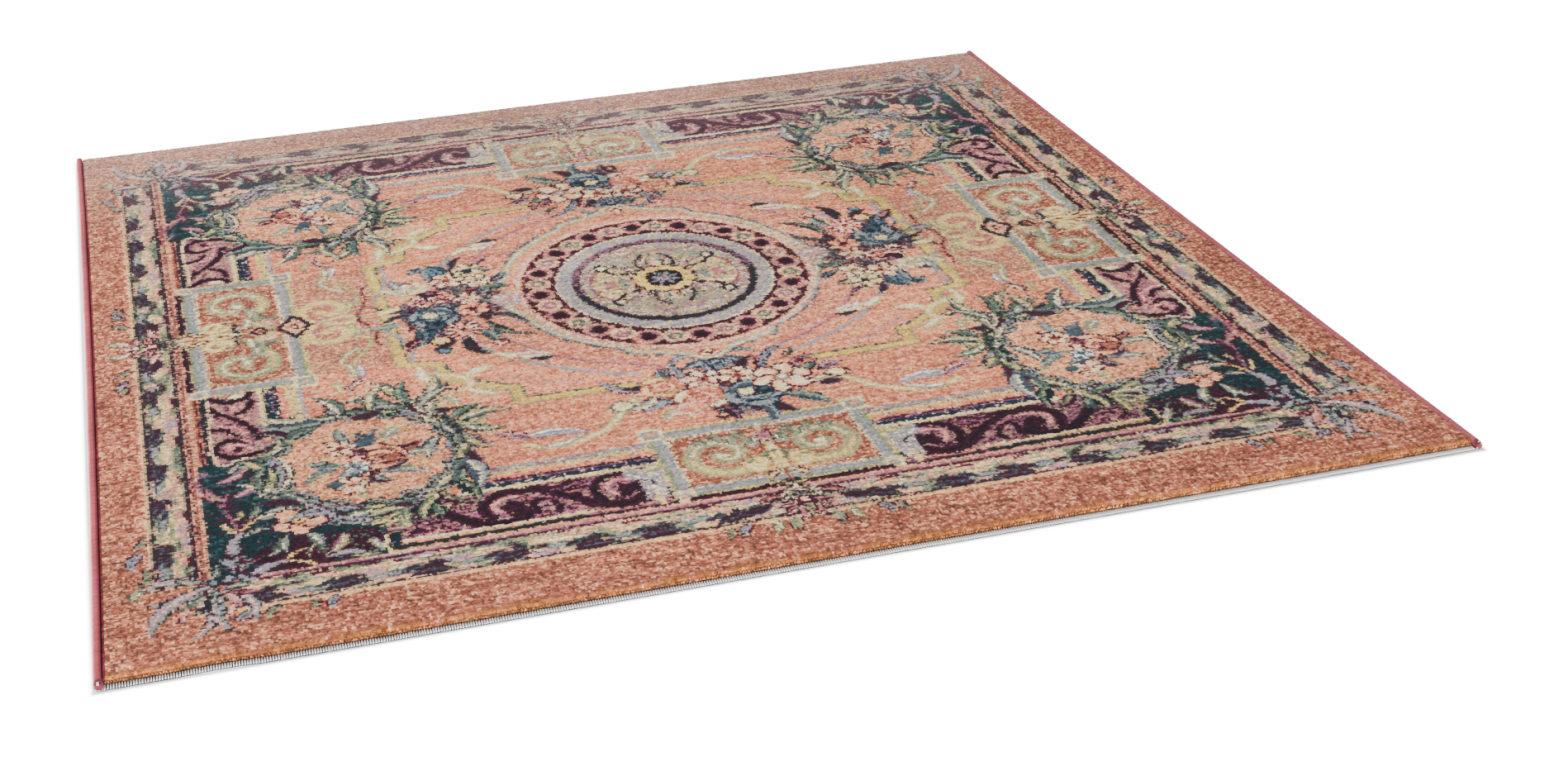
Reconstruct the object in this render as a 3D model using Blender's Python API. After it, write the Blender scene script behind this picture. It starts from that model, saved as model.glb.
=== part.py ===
# Square woven pile rug with a round centre medallion, lying flat on a floor.
# Units are metres, +Z is up, the far end is at +Y, and the origin is under the middle of the rug.
import math

import bmesh
import bpy

# Overall size, and the widths of what edges it
WIDTH = 2.000
DEPTH = 2.000
BINDING_WIDTH = 0.013
HEADING_DEPTH = 0.0105

# Heights over the floor
HEADING_THICKNESS = 0.0035
PILE_TOP = 0.0130
BINDING_HEIGHT = 0.0132

# How the real rug strays from a true square
SIDE_WAIST = 0.0045
NEAR_BOW = 0.0025
RIPPLE_HEIGHT = 0.0016
RIPPLE_X = -0.84
RIPPLE_HALF_WIDTH = 0.07
RIPPLE_REACH = 0.10

# How far the pile's top drops beside its ends and its bindings
END_DROP = 0.0040
END_ROUND = 0.012
SIDE_DROP = 0.0022
SIDE_ROUND = 0.008
HEADING_DROP = 0.0008

# What keeps neighbours apart
GAP = 0.0003

# Steps of the grids: a few close to an edge, then even ones across the middle
EDGE_STEPS = (0.0, 0.0025, 0.006, 0.012, 0.030)
INNER_STEPS = 20
RIPPLE_STEPS = (-1.0, -0.5, 0.0, 0.5, 1.0)

# The binding's section, and how its yarn is drawn in at both ends of a side
SECTION_POINTS = 16
SECTION_POWER = 2.5
SECTION_FLAT = 0.0007
BINDING_STEPS = 24
BINDING_TAPER = ((0.0, 0.62), (0.0015, 0.84), (0.004, 0.96), (0.008, 1.0))
BINDING_SETBACK = 0.0006

# Yarn colours, as linear red, green and blue
PILE_COLOR = (0.46, 0.21, 0.14, 1.0)
BINDING_COLOR = (0.42, 0.13, 0.14, 1.0)
HEADING_COLOR = (0.72, 0.74, 0.76, 1.0)


def clear_scene():
    for item in list(bpy.data.objects):
        bpy.data.objects.remove(item, do_unlink=True)


def yarn_material(name, color, roughness):
    material = bpy.data.materials.new(name)
    material.use_nodes = True
    shader = material.node_tree.nodes["Principled BSDF"]
    shader.inputs["Base Color"].default_value = color
    shader.inputs["Roughness"].default_value = roughness
    shader.inputs["Metallic"].default_value = 0.0
    return material


# The rug's own lines

def side_line(y):
    """Distance from the middle line to the outer face of a side at depth y."""
    along = 2.0 * y / DEPTH
    return WIDTH / 2 - SIDE_WAIST * (1.0 - along * along)


def near_line(x):
    """Y of the near end, which bows out towards its middle."""
    along = 2.0 * x / WIDTH
    return -DEPTH / 2 + NEAR_BOW * along * along


def far_line(x):
    """Y of the far end, which is straight."""
    return DEPTH / 2


def lift(x, y):
    """Height of the underside over the floor: one low ripple beside the near left corner."""
    across = (x - RIPPLE_X) / RIPPLE_HALF_WIDTH
    inward = (y + DEPTH / 2) / RIPPLE_REACH
    if abs(across) >= 1.0 or inward >= 1.0:
        return 0.0
    return RIPPLE_HEIGHT * math.cos(across * math.pi / 2) ** 2 * math.cos(inward * math.pi / 2) ** 2


def eased(distance, reach):
    """From 1 at an edge to 0 at its reach, as a quarter round."""
    if distance >= reach:
        return 0.0
    along = 1.0 - distance / reach
    return 1.0 - math.sqrt(1.0 - along * along)


def stations(steps):
    """Even and edge steps from 0 to 1, the edge ones as a share of the rug's depth."""
    edge = [step / DEPTH for step in steps]
    first = edge[-1]
    span = 1.0 - 2.0 * first
    inner = [first + span * i / INNER_STEPS for i in range(1, INNER_STEPS)]
    return edge + inner + [1.0 - step for step in reversed(edge)]


def with_ripple(shares):
    """Adds steps across the ripple, so that it keeps its form."""
    half = RIPPLE_HALF_WIDTH / WIDTH
    centre = 0.5 + RIPPLE_X / WIDTH
    ripple = [centre + half * step for step in RIPPLE_STEPS]
    kept = [share for share in shares if abs(share - centre) > half * 1.1]
    return sorted(kept + ripple)


def slab(name, across, along, place, thickness):
    """A closed flat body on a grid: place gives a point's plan position, thickness its height."""
    mesh = bpy.data.meshes.new(name)
    body = bmesh.new()
    columns = len(across) - 1
    rows = len(along) - 1
    bmesh.ops.create_grid(body, x_segments=columns, y_segments=rows, size=1.0)
    underside = list(body.faces)
    grown = bmesh.ops.extrude_face_region(body, geom=underside, use_keep_orig=True)
    top = {item for item in grown["geom"] if isinstance(item, bmesh.types.BMVert)}
    for vert in body.verts:
        share_x = across[round((vert.co.x + 1.0) / 2.0 * columns)]
        share_y = along[round((vert.co.y + 1.0) / 2.0 * rows)]
        x, y = place(share_x, share_y)
        z = lift(x, y)
        if vert in top:
            z += thickness(share_x, share_y, x, y)
        vert.co = (x, y, z)
    bmesh.ops.recalc_face_normals(body, faces=list(body.faces))
    body.to_mesh(mesh)
    body.free()
    return bpy.data.objects.new(name, mesh)


def finish(item, collection, material):
    item.data.materials.append(material)
    collection.objects.link(item)
    return item


# The woven cloth with its pile

def pile_place(share_x, share_y):
    x = (share_x - 0.5) * WIDTH
    near = near_line(x) + HEADING_DEPTH + GAP
    far = far_line(x) - HEADING_DEPTH - GAP
    y = near + (far - near) * share_y
    half = side_line(y) - BINDING_WIDTH - GAP
    return (share_x - 0.5) * 2.0 * half, y


def pile_height(share_x, share_y, x, y):
    to_end = min(share_y, 1.0 - share_y) * DEPTH
    to_side = min(share_x, 1.0 - share_x) * WIDTH
    drop = END_DROP * eased(to_end, END_ROUND)
    drop = max(drop, SIDE_DROP * eased(to_side, SIDE_ROUND))
    return PILE_TOP - drop


def pile_cloth(collection):
    across = with_ripple(stations(EDGE_STEPS))
    along = stations(EDGE_STEPS)
    item = slab("pile_cloth", across, along, pile_place, pile_height)
    return finish(item, collection, yarn_material("wool_pile", PILE_COLOR, 0.95))


# The flat-woven headings at the near and far end

def heading(name, outer_line, inward, collection, material):
    def place(share_x, share_y):
        start = (share_x - 0.5) * WIDTH
        y = outer_line(start) + inward * HEADING_DEPTH * share_y
        half = side_line(y) - BINDING_WIDTH - GAP
        return (share_x - 0.5) * 2.0 * half, y

    def thickness(share_x, share_y, x, y):
        return HEADING_THICKNESS - HEADING_DROP * (1.0 - share_y) ** 2

    across = with_ripple(stations((0.0,)))
    item = slab(name, across, (0.0, 0.35, 1.0), place, thickness)
    return finish(item, collection, material)


# The overcast bindings along the two sides

def binding_section():
    """Section of the bead of yarn: a squarish round with a flat underside."""
    outline = bpy.data.curves.new("binding_section", "CURVE")
    outline.dimensions = "2D"
    spline = outline.splines.new("POLY")
    spline.points.add(SECTION_POINTS - 1)
    spline.use_cyclic_u = True
    half_height = BINDING_HEIGHT / 2
    for index, point in enumerate(spline.points):
        angle = -2.0 * math.pi * index / SECTION_POINTS
        cosine = math.cos(angle)
        sine = math.sin(angle)
        x = math.copysign(abs(cosine) ** (2.0 / SECTION_POWER), cosine) * BINDING_WIDTH / 2
        z = math.copysign(abs(sine) ** (2.0 / SECTION_POWER), sine) * half_height
        point.co = (x, max(z, SECTION_FLAT - half_height), 0.0, 1.0)
    return bpy.data.objects.new("binding_section", outline)


def binding_stations():
    """Distance from the near end and share of full girth, at each point of a binding."""
    length = DEPTH - 2.0 * BINDING_SETBACK - NEAR_BOW
    taper_end = BINDING_TAPER[-1][0]
    span = length - 2.0 * taper_end
    inner = [(taper_end + span * i / BINDING_STEPS, 1.0) for i in range(1, BINDING_STEPS)]
    far = [(length - distance, girth) for distance, girth in reversed(BINDING_TAPER)]
    return list(BINDING_TAPER) + inner + far


def binding(name, side, section, collection, material):
    path = bpy.data.curves.new(name, "CURVE")
    path.dimensions = "3D"
    path.twist_mode = "Z_UP"
    path.bevel_mode = "OBJECT"
    path.bevel_object = section
    path.use_fill_caps = True
    points = binding_stations()
    spline = path.splines.new("POLY")
    spline.points.add(len(points) - 1)
    start = near_line(WIDTH / 2) + BINDING_SETBACK
    for point, (distance, girth) in zip(spline.points, points):
        y = start + distance
        x = side * (side_line(y) - BINDING_WIDTH / 2)
        point.co = (x, y, BINDING_HEIGHT / 2 - SECTION_FLAT + lift(x, y), 1.0)
        point.radius = girth
    item = bpy.data.objects.new(name, path)
    return finish(item, collection, material)


def main():
    clear_scene()
    rug = bpy.data.collections.new("square_pile_rug")
    guides = bpy.data.collections.new("guides")
    for collection in (rug, guides):
        bpy.context.scene.collection.children.link(collection)
    section = binding_section()
    section.hide_render = True
    section.display_type = "WIRE"
    guides.objects.link(section)
    pile_cloth(rug)
    heading_yarn = yarn_material("heading_yarn", HEADING_COLOR, 0.85)
    heading("heading_near", near_line, 1.0, rug, heading_yarn)
    heading("heading_far", far_line, -1.0, rug, heading_yarn)
    binding_yarn = yarn_material("binding_yarn", BINDING_COLOR, 0.8)
    binding("binding_left", -1.0, section, rug, binding_yarn)
    binding("binding_right", 1.0, section, rug, binding_yarn)


main()
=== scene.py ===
# Square woven pile rug with a round medallion, dressed over its solids.
# Metres throughout. The pattern is drawn tuft by tuft from the shapes below.
import math

import bpy
import numpy as np
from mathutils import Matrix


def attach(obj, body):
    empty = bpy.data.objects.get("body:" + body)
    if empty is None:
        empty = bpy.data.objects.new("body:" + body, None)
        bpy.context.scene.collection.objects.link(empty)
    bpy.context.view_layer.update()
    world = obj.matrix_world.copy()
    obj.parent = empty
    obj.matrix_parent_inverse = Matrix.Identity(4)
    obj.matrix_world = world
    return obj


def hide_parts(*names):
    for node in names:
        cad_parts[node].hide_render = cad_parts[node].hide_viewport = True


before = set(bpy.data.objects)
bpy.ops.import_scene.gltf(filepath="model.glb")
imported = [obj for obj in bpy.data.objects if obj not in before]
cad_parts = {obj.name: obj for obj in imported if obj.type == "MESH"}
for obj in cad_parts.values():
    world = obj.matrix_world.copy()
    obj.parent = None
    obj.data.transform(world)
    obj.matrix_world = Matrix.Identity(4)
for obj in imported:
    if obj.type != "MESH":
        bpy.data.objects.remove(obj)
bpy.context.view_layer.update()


# The rug's own lines, as its solids have them

WIDTH = 2.000
DEPTH = 2.000
BINDING_WIDTH = 0.013
BINDING_HEIGHT = 0.0132
HEADING_DEPTH = 0.0105
PILE_TOP = 0.0130
FOUNDATION_TOP = 0.0032
SIDE_WAIST = 0.0045
NEAR_BOW = 0.0025
RIPPLE_HEIGHT = 0.0016
RIPPLE_X = -0.84
RIPPLE_HALF_WIDTH = 0.07
RIPPLE_REACH = 0.10
END_DROP = 0.0040
END_ROUND = 0.012
SIDE_DROP = 0.0022
SIDE_ROUND = 0.008
GAP = 0.0003

PILE_HALF_WIDTH = WIDTH / 2 - BINDING_WIDTH - GAP
PILE_HALF_DEPTH = DEPTH / 2 - HEADING_DEPTH - GAP


def side_line(y):
    return WIDTH / 2 - SIDE_WAIST * (1.0 - (2.0 * y / DEPTH) ** 2)


def near_line(x):
    return -DEPTH / 2 + NEAR_BOW * (2.0 * x / WIDTH) ** 2


def lift(x, y):
    """One low ripple beside the near left corner."""
    across = np.clip(np.abs(x - RIPPLE_X) / RIPPLE_HALF_WIDTH, 0.0, 1.0)
    inward = np.clip((y + DEPTH / 2) / RIPPLE_REACH, 0.0, 1.0)
    return RIPPLE_HEIGHT * np.cos(across * math.pi / 2) ** 2 * np.cos(inward * math.pi / 2) ** 2


def eased(distance, reach):
    along = np.clip(1.0 - distance / reach, 0.0, 1.0)
    return 1.0 - np.sqrt(1.0 - along * along)


def laid(x, y):
    """Where a point of a true rectangle lies once the sides are waisted and the near end bows."""
    near = near_line(x) + HEADING_DEPTH + GAP
    far = PILE_HALF_DEPTH
    y = near + (far - near) * (y + PILE_HALF_DEPTH) / (2 * PILE_HALF_DEPTH)
    half = side_line(y) - BINDING_WIDTH - GAP
    return x / PILE_HALF_WIDTH * half, y


# Yarns: red, green and blue of 255
YARNS = {
    "terracotta": (196, 134, 112),
    "apricot": (222, 172, 144),
    "russet": (166, 116, 98),
    "peach": (234, 184, 152),
    "brick": (146, 94, 82),
    "umber": (112, 78, 68),
    "salmon": (216, 146, 118),
    "cream": (226, 208, 176),
    "straw": (208, 190, 136),
    "yellow": (228, 198, 134),
    "olive": (172, 162, 128),
    "sage": (140, 146, 124),
    "moss": (98, 110, 98),
    "lavender": (168, 156, 164),
    "mist": (148, 152, 150),
    "slate": (80, 92, 98),
    "teal": (26, 64, 66),
    "deep_teal": (30, 50, 54),
    "plum": (76, 40, 56),
    "aubergine": (50, 30, 44),
    "mauve": (144, 106, 120),
    "rose": (188, 132, 132),
    "pink": (228, 178, 160),
    "blue": (112, 132, 140),
    "navy": (40, 54, 72),
    "charcoal": (54, 52, 58),
    "white": (234, 228, 216),
    "gold": (152, 108, 72),
    "ochre": (200, 174, 112),
    "binding": (178, 98, 104),
    # crimson is also painted as shade beside the left binding and on its inner face
    "crimson": (104, 42, 54),
    "warp": (250, 250, 252),
    # near-black, painted as shade in the gaps between the heading's ribs
    "gap": (26, 28, 36),
}

# What a ground is woven of: yarns and their shares
BORDER_MIX = (("peach", 0.12), ("apricot", 0.08), ("terracotta", 0.20), ("russet", 0.26), ("brick", 0.22), ("umber", 0.12))
FIELD_MIX = (("peach", 0.20), ("apricot", 0.26), ("salmon", 0.34), ("terracotta", 0.14), ("russet", 0.06))
OUTER_MIX = (("peach", 0.12), ("apricot", 0.18), ("salmon", 0.24), ("terracotta", 0.22), ("russet", 0.24))
SIDE_MIX = (("peach", 0.08), ("apricot", 0.16), ("terracotta", 0.22), ("russet", 0.34), ("mauve", 0.08), ("olive", 0.12))
PANEL_MIX = (("peach", 0.10), ("apricot", 0.12), ("russet", 0.28), ("brick", 0.34), ("umber", 0.10), ("olive", 0.06))
ROUNDEL_MIX = (("straw", 0.10), ("peach", 0.20), ("apricot", 0.26), ("salmon", 0.16), ("russet", 0.28))
TEAL_MIX = (("slate", 0.12), ("teal", 0.48), ("deep_teal", 0.30), ("plum", 0.10))
MAUVE_MIX = (("plum", 0.34), ("mauve", 0.38), ("rose", 0.14), ("olive", 0.14))
ROSY_MIX = (("plum", 0.05), ("mauve", 0.30), ("rose", 0.40), ("pink", 0.05), ("olive", 0.20))
LEAF_MIX = (("plum", 0.05), ("moss", 0.10), ("sage", 0.16), ("olive", 0.22), ("cream", 0.10), ("peach", 0.08),
            ("apricot", 0.12), ("rose", 0.08), ("lavender", 0.09))
DISC_MIX = (("olive", 0.36), ("cream", 0.08), ("mist", 0.26), ("rose", 0.12), ("sage", 0.18))

STRIPE_MIX = (("peach", 0.26), ("apricot", 0.24), ("rose", 0.18), ("russet", 0.12), ("olive", 0.20))
WREATH_MIX = (("deep_teal", 0.16), ("moss", 0.26), ("olive", 0.26), ("plum", 0.12), ("mist", 0.20))
HALO_MIX = (("peach", 0.22), ("apricot", 0.12), ("salmon", 0.20), ("terracotta", 0.16), ("rose", 0.14), ("russet", 0.16))
RIM_MIX = (("rose", 0.22), ("peach", 0.28), ("apricot", 0.14), ("olive", 0.20), ("mauve", 0.16))

# Leaves and petals: outline, shaded half, lit half, vein
GREEN_LEAF = ("deep_teal", "moss", "sage", "slate")
PALE_LEAF = ("moss", "olive", "cream", "sage")
GREY_LEAF = ("plum", "mist", "lavender", "slate")
BLUE_LEAF = ("navy", "slate", "blue", "teal")
OLIVE_LEAF = ("plum", "sage", "olive", "moss")
CREAM_LEAF = ("terracotta", "straw", "white", "olive")
GREEN_GREY = ("charcoal", "moss", "mist", "cream")
BED_MIX = (("plum", 0.34), ("slate", 0.24), ("brick", 0.20), ("mist", 0.22))
FRAME_MIX = (("mist", 0.50), ("sage", 0.30), ("lavender", 0.20))
DARK_GAP = ("slate", "plum", "plum", "charcoal")
RED_LEAF = ("aubergine", "brick", "plum", "rose")
PLUM_LEAF = ("aubergine", "plum", "mauve", "plum")
PEACH_ROSE = ("plum", "terracotta", "peach", "cream")
PINK_ROSE = ("plum", "rose", "pink", "white")
BLUE_ROSE = ("navy", "slate", "mist", "mist")
RED_ROSE = ("aubergine", "brick", "rose", "pink")


def smooth_noise(rng, shape, cell):
    """Soft clouds from -1 to 1, about cell tufts across."""
    rows, columns = shape
    coarse = rng.uniform(-1.0, 1.0, (rows // cell[0] + 2, columns // cell[1] + 2))
    down = np.linspace(0, coarse.shape[0] - 1.001, rows)
    along = np.linspace(0, coarse.shape[1] - 1.001, columns)
    top = down.astype(int)
    left = along.astype(int)
    fall = (down - top)[:, None]
    run = (along - left)[None, :]
    fall = fall * fall * (3 - 2 * fall)
    run = run * run * (3 - 2 * run)
    a = coarse[top][:, left]
    b = coarse[top][:, left + 1]
    c = coarse[top + 1][:, left]
    d = coarse[top + 1][:, left + 1]
    return (a * (1 - run) + b * run) * (1 - fall) + (c * (1 - run) + d * run) * fall


class Weave:
    """A field of tufts, each with one colour. x runs across and y away from the near end."""

    def __init__(self, low, high, columns, rows, rng):
        self.low = low
        self.pitch = ((high[0] - low[0]) / columns, (high[1] - low[1]) / rows)
        self.x = low[0] + (np.arange(columns) + 0.5) * self.pitch[0]
        self.y = low[1] + (np.arange(rows) + 0.5) * self.pitch[1]
        self.tufts = np.zeros((rows, columns, 3))
        self.rng = rng
        self.grain = rng.uniform(-1.0, 1.0, (rows, columns))

    def window(self, low, high):
        spans = []
        for axis, size in ((1, len(self.y)), (0, len(self.x))):
            start = int((low[axis] - self.low[axis]) / self.pitch[axis])
            stop = int((high[axis] - self.low[axis]) / self.pitch[axis]) + 2
            spans.append(slice(max(0, start), max(0, min(size, stop))))
        return spans[0], spans[1]

    def grid(self, rows, columns):
        return np.meshgrid(self.x[columns], self.y[rows])

    def paint(self, rows, columns, mask, yarn):
        self.tufts[rows, columns][mask] = YARNS[yarn]

    def ground(self, low, high, mix, clump=0.35, cell=(2, 3)):
        """Fills a rectangle with a mottled mix of yarns."""
        rows, columns = self.window(low, high)
        x, y = self.grid(rows, columns)
        inside = (x >= low[0]) & (x <= high[0]) & (y >= low[1]) & (y <= high[1])
        self.mottle(rows, columns, inside, mix, clump, cell)

    def mottle(self, rows, columns, mask, mix, clump=0.35, cell=(2, 3)):
        """Gives each yarn its share of the masked tufts, in patches about a cell of tufts across."""
        if not mask.any():
            return
        share = min(clump * 0.3, 0.9)
        draw = self.rng.uniform(0.0, 1.0, mask.shape) * (1 - share)
        draw = (draw + (0.5 + 0.5 * smooth_noise(self.rng, mask.shape, cell)) * share)[mask]
        rank = np.empty(len(draw))
        rank[np.argsort(draw)] = (np.arange(len(draw)) + 0.5) / len(draw)
        edges = np.cumsum([part for _, part in mix])
        table = np.array([YARNS[yarn] for yarn, _ in mix], float)
        self.tufts[rows, columns][mask] = table[np.searchsorted(edges[:-1], rank)]

    def stroke(self, path, width, bands, ragged=0.10):
        """Lays a band of tufts along a path. Bands are (share of half width, lit yarn, shaded yarn)."""
        path = np.asarray(path, float)
        width = np.broadcast_to(np.asarray(width, float), (len(path),))
        reach = width.max() + max(self.pitch)
        rows, columns = self.window(path.min(0) - reach, path.max(0) + reach)
        x, y = self.grid(rows, columns)
        if x.size == 0:
            return
        best = np.full(x.shape, 9.0)
        side = np.zeros(x.shape)
        for start, end, near, far in zip(path[:-1], path[1:], width[:-1], width[1:]):
            step = end - start
            share = ((x - start[0]) * step[0] + (y - start[1]) * step[1]) / (step @ step + 1e-12)
            share = np.clip(share, 0.0, 1.0)
            off_x = x - start[0] - share * step[0]
            off_y = y - start[1] - share * step[1]
            across = np.hypot(off_x, off_y) / np.maximum(near + (far - near) * share, 1e-5)
            closer = across < best
            best = np.where(closer, across, best)
            side = np.where(closer, np.sign(step[0] * off_y - step[1] * off_x), side)
        rough = best + ragged * self.grain[rows, columns]
        for limit, lit, shaded in bands:
            self.paint(rows, columns, (rough < limit) & (side >= 0), lit)
            self.paint(rows, columns, (rough < limit) & (side < 0), shaded)

    def ring(self, centre, radii, half_width, yarn, ragged=0.0012):
        """An oval ring, or a disc where the half width is not under the radius."""
        reach = np.array(radii) + half_width + max(self.pitch)
        rows, columns = self.window(np.array(centre) - reach, np.array(centre) + reach)
        x, y = self.grid(rows, columns)
        if x.size == 0:
            return
        scale = (radii[0] + radii[1]) / 2
        spread = np.hypot((x - centre[0]) / radii[0], (y - centre[1]) / radii[1])
        away = np.abs(spread - 1.0) * scale + ragged * self.grain[rows, columns]
        mask = away < half_width
        if isinstance(yarn, str):
            self.paint(rows, columns, mask, yarn)
        else:
            self.mottle(rows, columns, mask, yarn)

    def disc(self, centre, radii, yarn):
        self.ring(centre, (radii[0] / 2, radii[1] / 2), (radii[0] + radii[1]) / 4, yarn)


def arc(centre, radii, start, stop, count=12):
    angles = np.radians(np.linspace(start, stop, count))
    return np.stack([centre[0] + radii[0] * np.cos(angles), centre[1] + radii[1] * np.sin(angles)], 1)


def bow(start, end, bend, count=8):
    """A path from start to end that bows to its left by bend times its length."""
    start = np.asarray(start, float)
    end = np.asarray(end, float)
    step = end - start
    left = np.array([-step[1], step[0]])
    share = np.linspace(0.0, 1.0, count)[:, None]
    return start + step * share + left * bend * 4 * share * (1 - share)


def curve(points, count=6):
    """A smooth path through all its points, count steps between each two."""
    points = np.asarray(points, float)
    padded = np.concatenate([[2 * points[0] - points[1]], points, [2 * points[-1] - points[-2]]])
    path = []
    for a, b, c, d in zip(padded[:-3], padded[1:-2], padded[2:-1], padded[3:]):
        for share in np.arange(count) / count:
            bend = (2 * a - 5 * b + 4 * c - d) * share ** 2 + (3 * b - a - 3 * c + d) * share ** 3
            path.append(0.5 * (2 * b + (c - a) * share + bend))
    return np.array(path + [points[-1]])


def taper(count, width, power=0.8):
    share = np.linspace(0.0, 1.0, count)
    return width * np.maximum(np.sin(np.pi * share ** power), 0.08)


def polar(centre, angle, reach):
    turn = math.radians(angle)
    return (centre[0] + reach * math.cos(turn), centre[1] + reach * math.sin(turn))


OUTLINE = 0.0032


def leaf(weave, base, angle, length, width, yarns, bend=0.12):
    outline, shaded, lit, vein = yarns
    path = bow(base, polar(base, angle, length), bend)
    inner = max(0.5, 1.0 - OUTLINE / width)
    bands = ((1.0, outline, outline), (inner, lit, shaded), (0.16, vein, vein))
    weave.stroke(path, taper(len(path), width), bands)


def spiral(centre, start, turns, outer, inner, stretch=1.0, count=26):
    share = np.linspace(0.0, 1.0, count)
    angle = np.radians(start) + 2 * np.pi * turns * share
    reach = outer + (inner - outer) * share ** 0.85
    return np.stack([centre[0] + reach * np.cos(angle) * stretch, centre[1] + reach * np.sin(angle)], 1)


def volute(weave, path, thick, thin, yarns):
    """A scroll that thins from one end to the other: edge, body, lit core."""
    edge, body, core = yarns
    width = np.linspace(thick, thin, len(path))
    weave.stroke(path, width, ((1.0, edge, edge), (0.72, body, body), (0.34, core, core)))


def leaves(weave, rows, bend=0.15):
    """Single leaves: x, y, angle, length, half width, yarns."""
    for x, y, angle, length, width, yarns in rows:
        leaf(weave, (x, y), angle, length, width, yarns, bend)
        bend = -bend


def lines(weave, rows, ragged=0.15):
    """Smooth lines: points, half width, lit yarn, shaded yarn."""
    for points, width, lit, shaded in rows:
        weave.stroke(curve(points), width, ((1.0, lit, shaded),), ragged)


def dots(weave, rows):
    """Small ovals: x, y, radius across, radius along, yarn."""
    for x, y, across, along, yarn in rows:
        weave.disc((x, y), (across, along), yarn)


def flower(weave, centre, radius, petals, yarns, turn=0.0):
    """An open flower of round petals: outline, shaded, lit, heart."""
    outline, shaded, lit, heart = yarns
    width = radius * math.sin(math.pi / petals) * 1.05
    for index in range(petals):
        angle = turn + 360.0 * index / petals
        path = bow(polar(centre, angle, radius * 0.25), polar(centre, angle, radius * 0.98), 0.05, 5)
        bands = ((1.0, outline, outline), (0.78, lit, shaded), (0.25, lit, lit))
        weave.stroke(path, taper(5, width, 1.2), bands)
    weave.disc(centre, (radius * 0.30, radius * 0.30), heart)
    weave.disc(centre, (radius * 0.13, radius * 0.13), outline)


def rose(weave, centre, radius, yarns, turn=0.0):
    """A full rose: three outer petals round a cup whose dark line coils to its heart."""
    outline, shaded, lit, lip = yarns
    for index in range(4):
        place = polar(centre, turn + 90 * index, radius * 0.40)
        weave.disc(place, (radius * 0.64, radius * 0.60), outline)
        weave.disc(place, (radius * 0.56, radius * 0.52), lip if index % 2 else lit)
    weave.disc(centre, (radius * 0.60, radius * 0.56), outline)
    weave.disc(centre, (radius * 0.52, radius * 0.48), lit)
    weave.stroke(arc(centre, (radius * 0.70, radius * 0.66), turn - 80, turn + 60), radius * 0.10, ((1.0, shaded, shaded),), 0.4)
    weave.stroke(spiral(centre, turn + 120, 1.25, radius * 0.46, radius * 0.10), 0.0028, ((1.0, shaded, outline),), 0.3)
    weave.disc(polar(centre, turn, radius * 0.08), (radius * 0.16, radius * 0.14), shaded)


def fan(weave, centre, angle, spread, reach, count, yarns, width=0.17):
    """A palmette of leaves that open from one point."""
    for index in range(count):
        share = index / (count - 1) * 2 - 1
        length = reach * (1.0 - 0.22 * abs(share))
        leaf(weave, centre, angle + share * spread, length, length * width, yarns, -0.10 * share)


SEED = 7
COLUMNS = 600
ROWS = 630
REACH = (0.9867, 0.9892)
MINGLE = 0.26

# Lines of the layout, as distances from the middle lines
PLAIN_EDGE = (0.922, 0.884)
STRIPE_EDGE = (0.859, 0.808)
INNER_EDGE = (0.838, 0.799)
ROUNDEL = (0.590, 0.510)
CORNER_GROUND = (0.590, 0.457)
FIELD_LINE = ((0.492, 0.0), (0.492, 0.212), (0.436, 0.226), (0.424, 0.290), (0.352, 0.342),
              (0.330, 0.350), (0.330, 0.402), (0.150, 0.404))


def borders(weave):
    weave.ground((0, 0), (1.01, 1.01), BORDER_MIX, 0.6, (1, 12))
    # dashed dark wefts along the ends
    for y, share in ((0.905, 0.35), (0.917, 0.60), (0.931, 0.45), (0.953, 0.65), (0.962, 0.40)):
        row = int((y - weave.low[1]) / weave.pitch[1])
        dashes = smooth_noise(weave.rng, (1, len(weave.x)), (1, 7)) * 0.5 + 0.5 < share
        tufts = weave.tufts[row:row + 1]
        tufts[dashes] = tufts[dashes] * 0.45 + np.array(YARNS["umber"]) * 0.55
    weave.ground((0, STRIPE_EDGE[1]), PLAIN_EDGE, LEAF_MIX, 2.6, (3, 12))
    weave.ground((STRIPE_EDGE[0], 0), (PLAIN_EDGE[0], STRIPE_EDGE[1]), LEAF_MIX, 2.6, (14, 3))
    weave.ground((0, 0), STRIPE_EDGE, STRIPE_MIX, 0.3)
    weave.ground((0, 0), INNER_EDGE, OUTER_MIX, 0.9, (2, 18))


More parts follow.
